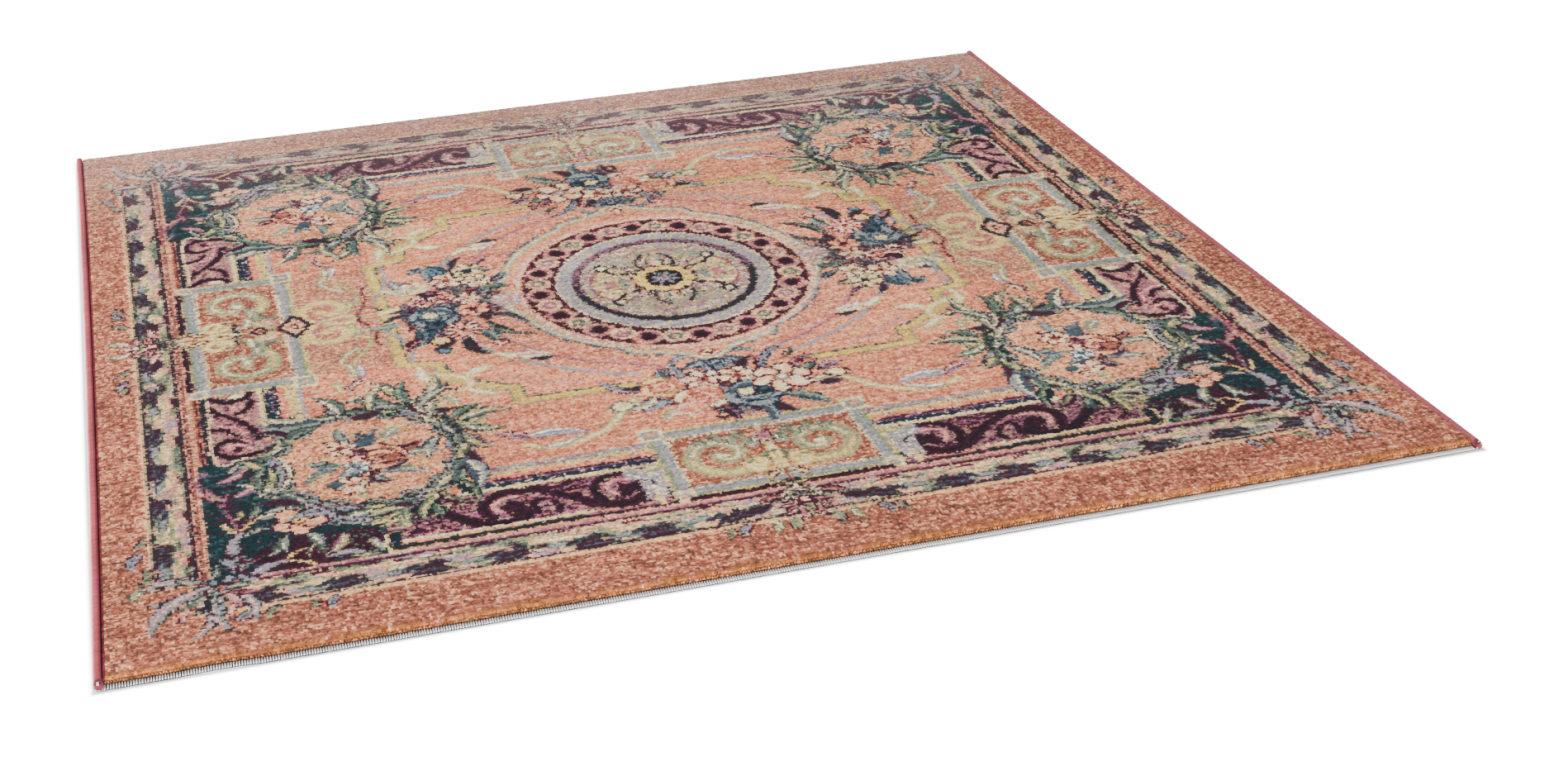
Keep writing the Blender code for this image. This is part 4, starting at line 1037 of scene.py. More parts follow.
ROUNDEL_LEAVES = (
    (-0.020, 0.050, 100, 0.066, 0.0100, ("slate", "mist", "sage", "mist")), (0.000, 0.044, 110, 0.042, 0.0100, ("charcoal", "slate", "mist", "slate")),
    (0.010, 0.046, 70, 0.048, 0.0080, ("slate", "slate", "mist", "slate")), (-0.020, 0.040, 60, 0.046, 0.0110, ("charcoal", "slate", "mist", "slate")),
    (0.030, 0.050, 46, 0.050, 0.0120, ("sage", "mist", "sage", "cream")), (0.046, 0.010, 30, 0.044, 0.0110, RED_LEAF),
    (0.050, -0.008, 350, 0.060, 0.0110, ("slate", "mist", "sage", "cream")), (-0.030, 0.030, 130, 0.050, 0.0110, ("plum", "peach", "straw", "plum")),
    (-0.040, -0.010, 160, 0.060, 0.0110, ("slate", "sage", "mist", "slate")), (-0.050, -0.020, 220, 0.070, 0.0100, ("slate", "mist", "sage", "moss")),
    (-0.034, -0.040, 250, 0.050, 0.0100, ("slate", "slate", "blue", "slate")), (-0.010, -0.040, 200, 0.050, 0.0090, ("slate", "blue", "mist", "white")),
    (0.000, -0.050, 340, 0.090, 0.0110, ("slate", "mist", "sage", "cream")), (-0.006, -0.056, 320, 0.040, 0.0110, ("slate", "plum", "mist", "plum")),
    (-0.056, -0.050, 270, 0.046, 0.0090, ("slate", "slate", "slate", "slate")), (0.010, -0.040, 20, 0.050, 0.0100, ("slate", "plum", "mist", "plum")),
    (-0.060, 0.010, 190, 0.034, 0.0080, ("charcoal", "sage", "mist", "sage")), (-0.012, -0.086, 260, 0.044, 0.0080, ("olive", "sage", "straw", "moss")),
)
ROUNDEL_FLOWERS = (
    ("rose", 0.014, -0.002, 0.044, ("plum", "russet", "peach", "apricot"), 10), ("bud", 0.034, -0.012, 0.018, ("plum", "brick", "russet", "plum"), 0),
    ("flower", -0.040, 0.042, 0.022, ("plum", "peach", "cream", "brick"), 0), ("flower", -0.022, -0.026, 0.018, ("slate", "mist", "white", "slate"), 20),
    ("flower", -0.036, -0.078, 0.024, ("plum", "peach", "cream", "salmon"), 0), ("bud", 0.000, 0.052, 0.015, ("slate", "slate", "slate", "slate"), 0),
    ("bud", -0.012, 0.020, 0.013, ("plum", "plum", "mauve", "plum"), 0), ("bud", -0.060, -0.070, 0.012, ("slate", "slate", "slate", "slate"), 0),
    ("bud", 0.002, -0.052, 0.009, ("aubergine", "brick", "plum", "plum"), 0),
)


def daisy(weave, centre, radius, yarns, turn):
    """A many-petalled flower with a pale rim."""
    outline, shaded, lit, lip = yarns
    weave.disc(centre, (radius * 0.9, radius * 0.9), shaded)
    for index in range(11):
        angle = turn + 360.0 * index / 11
        leaf(weave, polar(centre, angle, radius * 0.30), angle, radius * 0.80, radius * 0.20, (outline, shaded, lit, lip), 0.1)
    for index in range(6):
        angle = turn + 60 * index
        leaf(weave, polar(centre, angle, radius * 0.12), angle + 20, radius * 0.42, radius * 0.15, (shaded, lit, lip, lit), 0.2)
    weave.disc(centre, (radius * 0.16, radius * 0.16), outline)


def bouquet(weave, centre, bed, blades, flowers, turn=0.0):
    cosine = math.cos(math.radians(turn))
    sine = math.sin(math.radians(turn))

    def spot(x, y):
        return (centre[0] + x * cosine - y * sine, centre[1] + x * sine + y * cosine)

    for x, y, across, along in bed:
        weave.disc(spot(x, y), (across, along) if turn in (0, 180) else (along, across), BED_MIX)
    bend = 0.16
    for x, y, angle, length, width, yarns in blades:
        leaf(weave, spot(x, y), angle + turn, length, width, yarns, bend)
        bend = -bend
    for kind, x, y, radius, yarns, spin in flowers:
        place = spot(x, y)
        if kind == "rose":
            rose(weave, place, radius, yarns, turn + spin)
        elif kind == "daisy":
            daisy(weave, place, radius, yarns, turn + spin)
        elif kind == "flower":
            flower(weave, place, radius, 6, yarns, turn + spin)
        else:
            weave.disc(place, (radius, radius * 0.9), yarns[0])
            weave.disc(place, (radius * 0.76, radius * 0.68), yarns[2])
            weave.disc(polar(place, 60 + turn, radius * 0.3), (radius * 0.4, radius * 0.4), yarns[1])


def whole_design():
    rng = np.random.default_rng(SEED)
    quarter = quarter_design(rng)
    right = np.concatenate([quarter.tufts[::-1], quarter.tufts], 0)
    weave = Weave((-REACH[0], -REACH[1]), REACH, COLUMNS, ROWS, rng)
    weave.tufts = np.concatenate([right[:, ::-1], right], 1)
    medallion(weave)
    bouquet(weave, (0.0, -0.452), END_BED, END_LEAVES, END_FLOWERS)
    bouquet(weave, (0.004, 0.450), END_BED, END_LEAVES, END_FLOWERS, 180)
    bouquet(weave, (-0.388, 0.000), SIDE_BED, SIDE_LEAVES, SIDE_FLOWERS)
    bouquet(weave, (0.402, -0.006), SIDE_BED, SIDE_LEAVES, SIDE_FLOWERS, 180)
    for side in (-1, 1):
        for end in (-1, 1):
            centre = (side * ROUNDEL[0] + 0.004, end * ROUNDEL[1])
            bouquet(weave, centre, ROUNDEL_BED, ROUNDEL_LEAVES, ROUNDEL_FLOWERS, 0 if end < 0 else 180)
    return weave, rng


def gilt_end(tufts, rng):
    """Ochre ends of the pile, with dyed tips that hang over them like teeth."""
    columns = tufts.shape[1]
    teeth = 0.5 + 0.45 * smooth_noise(rng, (1, columns), (1, 4))[0] + 0.3 * rng.uniform(-1, 1, columns)
    for row, share in ((0, 0.85), (1, 0.66), (2, 0.46), (3, 0.26), (4, 0.10)):
        gilt = (teeth < share + 0.1)[:, None] * (0.40 + 0.40 * share)
        shadow = ((teeth > share + 0.05) & (teeth < share + 0.26))[:, None] * 0.5
        color = tufts[row] * (1 - gilt) + np.array(YARNS["gold"]) * gilt
        tufts[row] = color * (1 - shadow) + np.array(YARNS["brick"]) * shadow


def woven(weave, rng):
    """Lets neighbouring tufts stray and mingle, paints shade beside the left binding and a pale sheen towards the far
    end, and makes each tuft lighter or darker at random, alone, in broad clouds and in streaks along the rows.
    """
    rows, columns, _ = weave.tufts.shape
    shape = (rows, columns)
    down = np.arange(rows)[:, None] + rng.integers(-1, 2, shape) * (rng.random(shape) < 0.26)
    along = np.arange(columns)[None, :] + rng.integers(-1, 2, shape) * (rng.random(shape) < 0.40)
    tufts = weave.tufts[np.clip(down, 0, rows - 1), np.clip(along, 0, columns - 1)]
    around = np.pad(tufts, ((1, 1), (1, 1), (0, 0)), "edge")
    around = (around[2:, 1:-1] + around[:-2, 1:-1] + around[1:-1, 2:] + around[1:-1, :-2]) / 4
    tufts = tufts * (1 - MINGLE) + around * MINGLE
    gilt_end(tufts, rng)
    # painted shadow: the line of tufts beside the left binding is three quarters crimson, as the binding's shade falls
    # there
    tufts[:, 0] = tufts[:, 0] * 0.25 + np.array(YARNS["crimson"]) * 0.75
    # painted sheen: towards the far end the tufts pale up to half way to (198, 181, 173), for the sheen of the nap
    # there
    far = np.clip((weave.y[:, None, None] - 0.50) / 0.50, 0.0, 1.0) * 0.50
    tufts = tufts * (1 - far) + np.array((198, 181, 173)) * far
    depth = 1.0 + 0.07 * rng.standard_normal(shape) + 0.06 * smooth_noise(rng, shape, (40, 70)) + 0.05 * smooth_noise(rng, shape, (1, 70))
    row_shade = 1.0 + 0.03 * rng.standard_normal((rows, 1))
    return tufts * (depth * row_shade)[..., None]


# Meshes

def mesh_piece(name, points, faces, colors=None, crest=None, smooth=True):
    """An object from arrays: faces is a list of arrays, each with faces of one number of corners."""
    mesh = bpy.data.meshes.new(name)
    corners = np.concatenate([block.ravel() for block in faces])
    sizes = np.concatenate([np.full(len(block), block.shape[1]) for block in faces])
    starts = np.concatenate([[0], np.cumsum(sizes)[:-1]])
    mesh.vertices.add(len(points))
    mesh.vertices.foreach_set("co", points.astype(np.float32).ravel())
    mesh.loops.add(len(corners))
    mesh.loops.foreach_set("vertex_index", corners.astype(np.int32))
    mesh.polygons.add(len(sizes))
    mesh.polygons.foreach_set("loop_start", starts.astype(np.int32))
    mesh.polygons.foreach_set("use_smooth", np.full(len(sizes), smooth))
    mesh.update(calc_edges=True)
    if colors is not None:
        layer = mesh.attributes.new("yarn", "FLOAT_COLOR", "FACE")
        rgba = np.ones((len(sizes), 4), np.float32)
        rgba[:, :3] = linear(colors)
        layer.data.foreach_set("color", rgba.ravel())
    if crest is not None:
        layer = mesh.attributes.new("crest", "FLOAT", "POINT")
        layer.data.foreach_set("value", crest.astype(np.float32).ravel())
    piece = bpy.data.objects.new(name, mesh)
    bpy.context.scene.collection.objects.link(piece)
    return piece


DYE_STRENGTH = 1.12
DYE_DEPTH = 1.30
DYE_LIGHT = 1.10


def linear(colors):
    """Dye colours of 255 as linear light, made stronger and deeper, as the studio light pales them."""
    share = np.clip(np.asarray(colors, float) / 255.0, 0.0, 1.0)
    light = np.where(share < 0.04045, share / 12.92, ((share + 0.055) / 1.055) ** 2.4)
    grey = light.mean(axis=-1, keepdims=True)
    light = np.clip(grey + (light - grey) * DYE_STRENGTH, 0.002, 1.0)
    return np.clip(DYE_LIGHT * light ** DYE_DEPTH, 0.0, 0.92)


def lattice(rows, columns, first=0):
    """Quads of a grid of points, rows away from the near end and columns to the right."""
    start = (np.arange(rows)[:, None] * (columns + 1) + np.arange(columns)[None, :]).ravel() + first
    return np.stack([start, start + 1, start + columns + 2, start + columns + 1], 1)


def closed_slab(top, floor):
    """Points and faces of a slab: its top grid, walls below the rim, and an underside."""
    rows = top.shape[0] - 1
    columns = top.shape[1] - 1
    index = np.arange(top.shape[0] * top.shape[1]).reshape(top.shape[:2])
    rim = np.concatenate([index[0, :-1], index[:-1, -1], index[-1, :0:-1], index[:0:-1, 0]])
    flat = top.reshape(-1, 3)
    under = flat[rim].copy()
    under[:, 2] = floor.reshape(-1)[rim]
    below = len(flat) + np.arange(len(rim))
    walls = np.stack([rim, below, np.roll(below, -1), np.roll(rim, -1)], 1)
    near = below[:columns + 1]
    right = below[columns:columns + rows + 1]
    far = below[columns + rows:2 * columns + rows + 1][::-1]
    left = np.append(below[2 * columns + rows:], below[0])[::-1]
    middle = np.stack([near[1:-2], far[1:-2], far[2:-1], near[2:-1]], 1)
    left_cap = np.concatenate([[near[1]], left, [far[1]]])[None, :]
    right_cap = np.concatenate([[far[-2]], right[::-1], [near[-2]]])[None, :]
    faces = [lattice(rows, columns), walls, middle, left_cap, right_cap]
    return np.concatenate([flat, under]), faces


STRIPS = 5
RAISED = 0.00032
DRIFT = 0.00035
STRAY = 0.17


def pile_surface(rng):
    """Top of the pile as a grid of tuft corners, each a little out of its place."""
    x = np.linspace(-PILE_HALF_WIDTH, PILE_HALF_WIDTH, COLUMNS + 1)
    y = np.linspace(-PILE_HALF_DEPTH, PILE_HALF_DEPTH, ROWS + 1)
    x, y = np.meshgrid(x, y)
    shape = x.shape
    stray_x = rng.uniform(-STRAY, STRAY, shape) * 2 * PILE_HALF_WIDTH / COLUMNS
    stray_y = rng.uniform(-STRAY, STRAY, shape) * 2 * PILE_HALF_DEPTH / ROWS
    stray_x[:, [0, -1]] = 0.0
    stray_y[[0, -1], :] = 0.0
    to_end = PILE_HALF_DEPTH - np.abs(y)
    to_side = PILE_HALF_WIDTH - np.abs(x)
    place_x, place_y = laid(x + stray_x, y + stray_y)
    tips = np.clip(rng.standard_normal(shape), -2.0, 2.0)
    drop = np.maximum(END_DROP * eased(to_end, END_ROUND), SIDE_DROP * eased(to_side, SIDE_ROUND))
    height = PILE_TOP - drop - DRIFT + DRIFT * smooth_noise(rng, shape, (40, 36)) + RAISED * tips
    return np.stack([place_x, place_y, height + lift(place_x, place_y)], 2), tips


def pile_strips(tufts, rng):
    """The pile in strips across the rug, each a closed slab of tufts."""
    top, tips = pile_surface(rng)
    step = ROWS // STRIPS
    pieces = []
    for index in range(STRIPS):
        part = top[index * step:(index + 1) * step + 1]
        floor = FOUNDATION_TOP + lift(part[..., 0], part[..., 1])
        points, faces = closed_slab(part, floor)
        block = tufts[index * step:(index + 1) * step]
        rim = np.concatenate([block[0], block[:, -1], block[-1, ::-1], block[::-1, 0]])
        rest = sum(len(face) for face in faces[2:])
        # painted shade: the slab's walls take the rim tufts' colours at eight tenths
        colors = np.concatenate([block.reshape(-1, 3), rim * 0.8, np.tile(block[0, 0], (rest, 1))])
        below = len(points) - len(rim)
        # painted shade: the walls' lower edge gets crest -1, which the material darkens
        crest = np.concatenate([tips[index * step:(index + 1) * step + 1].ravel(), np.full(len(rim), -1.0)])
        piece = mesh_piece(f"pile_strip_{index + 1}", points, faces, colors, crest)
        pieces.append(piece)
    return pieces


def foundation():
    """The woven ground that holds the tufts, seen from under the rug."""
    x = np.linspace(-PILE_HALF_WIDTH, PILE_HALF_WIDTH, 41)
    y = np.linspace(-PILE_HALF_DEPTH, PILE_HALF_DEPTH, 41)
    x, y = laid(*np.meshgrid(x, y))
    top = np.stack([x, y, FOUNDATION_TOP + lift(x, y)], 2)
    points, faces = closed_slab(top, lift(x, y))
    return mesh_piece("foundation_web", points, faces)


# Locks of yarn that lean out at both ends of the pile

LOCKS = 540
LOCK_RINGS = ((0.0, 0.85), (0.42, 1.15), (0.80, 0.80))


def end_locks(name, end, tufts, rng):
    """Two ranks of tapered locks along an end, gold at their foot and dyed at their tip."""
    points = []
    colors = []
    count = LOCKS * 2
    rank = np.arange(count) % 2
    x = (np.arange(count) // 2 + 0.5 + 0.5 * rank + rng.uniform(-0.3, 0.3, count)) / (LOCKS + 0.5)
    x = (x * 2 - 1) * (PILE_HALF_WIDTH - 0.001)
    lean = 0.0012 + 0.0016 * (1 - rank) + rng.uniform(-0.0006, 0.0008, count)
    reach = 0.0062 + 0.0022 * rank + rng.uniform(-0.0012, 0.0010, count)
    skew = rng.uniform(-0.0022, 0.0022, count)
    half = 0.0017 + rng.uniform(-0.0003, 0.0003, count)
    start_y = 0.0010 + 0.0020 * rank
    rings = []
    for share, girth in LOCK_RINGS:
        for turn in range(4):
            angle = math.pi / 2 * turn + math.pi / 4
            px = x + skew * share ** 1.5 + half * girth * math.cos(angle)
            out = lean * math.sin(share * math.pi * 0.6) - start_y
            py = out + half * 0.8 * girth * math.sin(angle)
            rings.append(np.stack([px, py, FOUNDATION_TOP + reach * share], 1))
    rings.append(np.stack([x + skew, lean * 0.8 - start_y, FOUNDATION_TOP + reach], 1))
    local = np.stack(rings, 1)
    flat = local.reshape(-1, 3)
    edge_x = np.clip(flat[:, 0], -PILE_HALF_WIDTH, PILE_HALF_WIDTH)
    line = near_line(edge_x) + HEADING_DEPTH + GAP if end < 0 else np.full(len(flat), PILE_HALF_DEPTH)
    flat[:, 1] = line + end * flat[:, 1]
    half_width = side_line(flat[:, 1]) - BINDING_WIDTH - GAP
    flat[:, 0] = np.clip(flat[:, 0], -half_width, half_width)
    flat[:, 2] += lift(flat[:, 0], flat[:, 1])
    first = np.arange(count)[:, None] * 13
    quads = []
    for ring in range(2):
        for turn in range(4):
            a = ring * 4 + turn
            b = ring * 4 + (turn + 1) % 4
            quads.append(np.concatenate([first + a, first + b, first + b + 4, first + a + 4], 1))
    foot = np.concatenate([first + 3, first + 2, first + 1, first], 1)
    tips = [np.concatenate([first + 8 + turn, first + 8 + (turn + 1) % 4, first + 12], 1) for turn in range(4)]
    gold = np.array(YARNS["gold"], float)
    row = tufts[1] if end < 0 else tufts[-2]
    dye = row[np.clip(((x / PILE_HALF_WIDTH + 1) / 2 * COLUMNS).astype(int), 0, COLUMNS - 1)]
    wave = smooth_noise(rng, (1, count), (1, 9))[0] + 0.5 * rng.uniform(-1, 1, count)
    share = np.clip(0.35 + wave, 0.0, 1.0)[:, None] * (0.4 + 0.6 * rank[:, None])
    low = gold * (1 - share) + dye * 0.85 * share
    depth = 1 + 0.10 * rng.standard_normal((count, 1)) + 0.25 * smooth_noise(rng, (1, count), (1, 5))[0][:, None]
    foot_color = low * depth * 0.85
    tip_color = (gold * 0.25 + dye * 0.75) * depth
    blocks = quads + [foot]
    shades = [foot_color] * 4 + [(foot_color + tip_color) / 2] * 4 + [foot_color]
    shades += [tip_color] * 4
    if end > 0:
        blocks = [block[:, ::-1] for block in blocks]
        tips = [block[:, ::-1] for block in tips]
    colors = np.concatenate(shades)
    return mesh_piece(name, flat, blocks + tips, colors, np.zeros(len(flat)))


# Overcast side bindings

TURN_PITCH = 0.0024
BINDING_SIDES = 14
TURN_PROFILE = (0.0, 1.0)
TURN_RELIEF = 0.00045
SECTION_POWER = 2.5
SECTION_FLAT = 0.0007
BINDING_TAPER = ((0.0, 0.62), (0.0015, 0.84), (0.004, 0.96), (0.008, 1.0))
BINDING_SETBACK = 0.0006


def binding(name, side, rng):
    """A bead of yarn turns wound round the side, with its ends drawn in."""
    length = DEPTH - 2 * BINDING_SETBACK - NEAR_BOW
    turns = int(length / TURN_PITCH)
    rings = turns * len(TURN_PROFILE) + 1
    along = np.linspace(0.0, length, rings)
    crest = np.array(TURN_PROFILE)[np.arange(rings) % len(TURN_PROFILE)]
    taper_at = [row[0] for row in BINDING_TAPER]
    taper_to = [row[1] for row in BINDING_TAPER]
    girth = np.interp(np.minimum(along, length - along), taper_at, taper_to)
    wander = 0.00025 * smooth_noise(rng, (1, rings), (1, 60))[0]
    angle = -2 * math.pi * np.arange(BINDING_SIDES) / BINDING_SIDES
    cosine = np.cos(angle)[None, :]
    sine = np.sin(angle)[None, :]
    relief = 1.0 - (1.0 - crest[:, None]) * TURN_RELIEF / (BINDING_WIDTH / 2)
    relief = relief * girth[:, None]
    power = 2.0 / SECTION_POWER
    x = np.sign(cosine) * np.abs(cosine) ** power * BINDING_WIDTH / 2 * relief
    z = np.sign(sine) * np.abs(sine) ** power * BINDING_HEIGHT / 2 * relief
    z = np.maximum(z, SECTION_FLAT - BINDING_HEIGHT / 2)
    start = near_line(WIDTH / 2) + BINDING_SETBACK
    slant = 0.9 * TURN_PITCH * np.sin(angle + 0.6)[None, :] * np.clip(girth[:, None] * 5 - 4, 0, 1)
    middle_y = start + along[:, None]
    y = np.clip(middle_y + slant * 0.6, start, start + length)
    centre_x = side * (side_line(middle_y) - BINDING_WIDTH / 2) + wander[:, None]
    centre_z = BINDING_HEIGHT / 2 - SECTION_FLAT + lift(centre_x, middle_y)
    points = np.stack(np.broadcast_arrays(centre_x + x, y, centre_z + z), 2).reshape(-1, 3)
    ring = np.arange(rings - 1)[:, None] * BINDING_SIDES
    turn = np.arange(BINDING_SIDES)[None, :]
    after = (turn + 1) % BINDING_SIDES
    corners = [ring + turn, ring + BINDING_SIDES + turn, ring + BINDING_SIDES + after, ring + after]
    quads = np.stack([np.broadcast_to(corner, (rings - 1, BINDING_SIDES)) for corner in corners], 2)
    quads = quads.reshape(-1, 4)
    near_cap = np.arange(BINDING_SIDES)[None, :]
    far_cap = ((rings - 1) * BINDING_SIDES + np.arange(BINDING_SIDES))[None, ::-1]
    # painted light: the right binding's colour is greyed three tenths of the way to (150, 116, 120), for how the light
    # falls on that side
    body = np.array(YARNS["binding"], float) * (1.0 if side < 0 else 0.7) + np.array((150, 116, 120)) * (0.0 if side < 0 else 0.3)
    edge = np.array(YARNS["crimson"], float)
    # painted shade: the inner face of the left binding turns crimson; both ends of each binding turn crimson too
    inner = np.clip(-side * np.cos(angle + math.pi / BINDING_SIDES * -1), 0, 1)[None, :, None] ** 1.5
    to_end = np.minimum(along[:-1], length - along[:-1])[:, None, None]
    blend = np.clip(inner * (0.0 if side > 0 else 1.3) + np.clip(1.4 - to_end / 0.009, 0, 1), 0, 1)
    shade = 1 + 0.05 * rng.standard_normal((rings - 1, 1, 1)) + 0.05 * smooth_noise(rng, (1, rings - 1), (1, 90))[0][:, None, None]
    colors = (body * (1 - blend) + edge * blend) * shade
    frayed = (to_end < 0.0030) & (rng.random((rings - 1, BINDING_SIDES, 1)) < 0.12)
    colors = np.where(frayed, np.array(YARNS["warp"], float), colors)
    colors = np.concatenate([colors.reshape(-1, 3), [edge, edge]])
    # painted shade: the valleys between turns get crest -1, which the material darkens
    bumps = np.broadcast_to(crest[:, None] * 2 - 1, (rings, BINDING_SIDES))
    return mesh_piece(name, points, [quads, near_cap, far_cap], colors, bumps.reshape(-1))


# Flat-woven headings

RIB_PITCH = 0.0036
RIB_STEPS = 3
# Section of a heading: inward from its outer edge, height, and how far a rib's gap sinks there
HEADING_SECTION = ((0.0000, 0.0004, 0.0), (0.0001, 0.0020, 0.4), (0.0012, 0.0031, 1.0), (0.0046, 0.0033, 1.0),
                   (0.0052, 0.0028, 0.5), (0.0058, 0.0034, 1.0), (0.0104, 0.0035, 0.6))
RIB_SINK = 0.0016


def heading(name, end, rng):
    """Ribs of warp in two ranks, with painted shade in the gaps between them and a painted shadow along the foot of the
    outer face.
    """
    inner_half = PILE_HALF_WIDTH - 0.0002
    ribs = int(2 * inner_half / RIB_PITCH)
    columns = ribs * RIB_STEPS
    phase = np.arange(columns + 1) % RIB_STEPS
    x = np.linspace(-inner_half, inner_half, columns + 1) - phase * RIB_PITCH * 0.05
    gap = (phase == 0).astype(float)
    section = np.array(HEADING_SECTION + ((0.0104, 0.0, 0.0), (0.0, 0.0, 0.0)))
    count = len(section)
    line = near_line(x) if end < 0 else np.full(len(x), DEPTH / 2)
    y = line[:, None] - end * section[None, :, 0]
    z = section[None, :, 1] - gap[:, None] * RIB_SINK * section[None, :, 2]
    z = z + 0.0002 * smooth_noise(rng, (1, len(x)), (1, 30))[0][:, None] * (section[None, :, 1] > 0.001)
    half = side_line(y) - BINDING_WIDTH - GAP
    place_x = x[:, None] / PILE_HALF_WIDTH * half
    z = np.maximum(z, 0.0) + lift(place_x, y)
    points = np.stack([place_x, y, z], 2).reshape(-1, 3)
    ring = np.arange(columns)[:, None] * count
    turn = np.arange(count)[None, :]
    after = (turn + 1) % count
    corners = [ring + turn, ring + after, ring + count + after, ring + count + turn]
    quads = np.stack([np.broadcast_to(corner, (columns, count)) for corner in corners], 2).reshape(-1, 4)
    caps = [np.arange(count)[None, ::-1], (columns * count + np.arange(count))[None, :]]
    white = np.array(YARNS["warp"], float)
    dark = np.array(YARNS["gap"], float)
    shade = 1 + 0.04 * rng.standard_normal((columns, 1))
    # painted shade: faces that sink into the gaps between ribs turn towards the near-black gap colour
    gap_shade = ((np.arange(columns) % RIB_STEPS) == 2)[:, None] * rng.uniform(0.6, 1.0, (columns, 1))
    gap_shade_by_face = np.array([1.0, 1.0, 1.0, 0.9, 0.9, 1.0, 0.6, 0.0, 0.0])[None, :]
    blend = (gap_shade * gap_shade_by_face)[..., None]
    # painted shadow: the lowest outer face is darkened almost to black; the dip between the two ranks is darkened four
    # tenths
    groove = np.zeros((1, count, 1))
    groove[0, 0, 0] = 0.95
    groove[0, 3:5, 0] = 0.40
    blend = np.clip(blend + groove, 0, 1)
    colors = white * (1 - blend) + dark * blend
    colors = np.concatenate([(colors * shade[..., None]).reshape(-1, 3), [white, white]])
    if end > 0:
        quads = quads[:, ::-1]
        caps = [cap[:, ::-1] for cap in caps]
    return mesh_piece(name, points, [quads] + caps, colors, np.zeros(len(points)))


# Finishes

def group_socket(group, name, direction, kind, value=None):
    socket = group.interface.new_socket(name=name, in_out=direction, socket_type=kind)
    if value is not None:
        socket.default_value = value
    return socket


def yarn_group():
    """Spun yarn: a mottled tone and a painted shade from its shade input over a base colour, and a fine relief."""
    group = bpy.data.node_groups.new("spun_yarn", "ShaderNodeTree")
    group_socket(group, "Color", "INPUT", "NodeSocketColor", (0.5, 0.5, 0.5, 1.0))
    group_socket(group, "Fibre Scale", "INPUT", "NodeSocketFloat", 900.0)
    group_socket(group, "Mottle", "INPUT", "NodeSocketFloat", 0.3)
    group_socket(group, "Depth", "INPUT", "NodeSocketFloat", 0.0)
    group_socket(group, "Color", "OUTPUT", "NodeSocketColor")
    group_socket(group, "Height", "OUTPUT", "NodeSocketFloat")
    nodes = group.nodes
    link = group.links.new
    inlet = nodes.new("NodeGroupInput")
    outlet = nodes.new("NodeGroupOutput")
    where = nodes.new("ShaderNodeTexCoord")
    fine = nodes.new("ShaderNodeTexNoise")
    fine.inputs["Detail"].default_value = 3.0
    fine.inputs["Roughness"].default_value = 0.65
    link(where.outputs["Object"], fine.inputs["Vector"])
    link(inlet.outputs["Fibre Scale"], fine.inputs["Scale"])
    spread = nodes.new("ShaderNodeMapRange")
    spread.inputs["From Min"].default_value = 0.3
    spread.inputs["From Max"].default_value = 0.7
    spread.inputs["To Min"].default_value = -1.0
    spread.inputs["To Max"].default_value = 1.0
    link(fine.outputs["Fac"], spread.inputs["Value"])
    mottle = nodes.new("ShaderNodeMath")
    mottle.operation = "MULTIPLY"
    link(spread.outputs["Result"], mottle.inputs[0])
    link(inlet.outputs["Mottle"], mottle.inputs[1])
    depth = nodes.new("ShaderNodeMath")
    depth.operation = "ADD"
    link(mottle.outputs["Value"], depth.inputs[0])
    link(inlet.outputs["Depth"], depth.inputs[1])
    tone = nodes.new("ShaderNodeMath")
    tone.operation = "ADD"
    tone.inputs[1].default_value = 1.0
    link(depth.outputs["Value"], tone.inputs[0])
    shade = nodes.new("ShaderNodeVectorMath")
    shade.operation = "SCALE"
    link(inlet.outputs["Color"], shade.inputs[0])
    link(tone.outputs["Value"], shade.inputs["Scale"])
    link(shade.outputs["Vector"], outlet.inputs["Color"])
    link(fine.outputs["Fac"], outlet.inputs["Height"])
    return group


def wool(name, group, scale, mottle, crest_shade, relief, roughness, sheen):
    """Cut wool or wound yarn, dyed by the tufts' own colours, with painted shade where the crest attribute is low."""
    material = bpy.data.materials.new(name)
    material.use_nodes = True
    nodes = material.node_tree.nodes
    link = material.node_tree.links.new
    shader = nodes["Principled BSDF"]
    shader.inputs["Roughness"].default_value = roughness
    shader.inputs["Specular IOR Level"].default_value = 0.08
    shader.inputs["Sheen Weight"].default_value = sheen
    shader.inputs["Sheen Roughness"].default_value = 0.6
    dye = nodes.new("ShaderNodeAttribute")
    dye.attribute_name = "yarn"
    # painted shade: the crest attribute, scaled, darkens low tufts, the foot of the pile's walls and the valleys
    # between binding turns
    crest = nodes.new("ShaderNodeAttribute")
    crest.attribute_name = "crest"
    depth = nodes.new("ShaderNodeMath")
    depth.operation = "MULTIPLY"
    depth.inputs[1].default_value = crest_shade
    link(crest.outputs["Fac"], depth.inputs[0])
    spun = nodes.new("ShaderNodeGroup")
    spun.node_tree = group
    spun.inputs["Fibre Scale"].default_value = scale
    spun.inputs["Mottle"].default_value = mottle
    link(dye.outputs["Color"], spun.inputs["Color"])
    link(depth.outputs["Value"], spun.inputs["Depth"])
    bump = nodes.new("ShaderNodeBump")
    bump.inputs["Strength"].default_value = 0.6
    bump.inputs["Distance"].default_value = relief
    link(spun.outputs["Height"], bump.inputs["Height"])
    link(bump.outputs["Normal"], shader.inputs["Normal"])
    link(spun.outputs["Color"], shader.inputs["Base Color"])
    return material


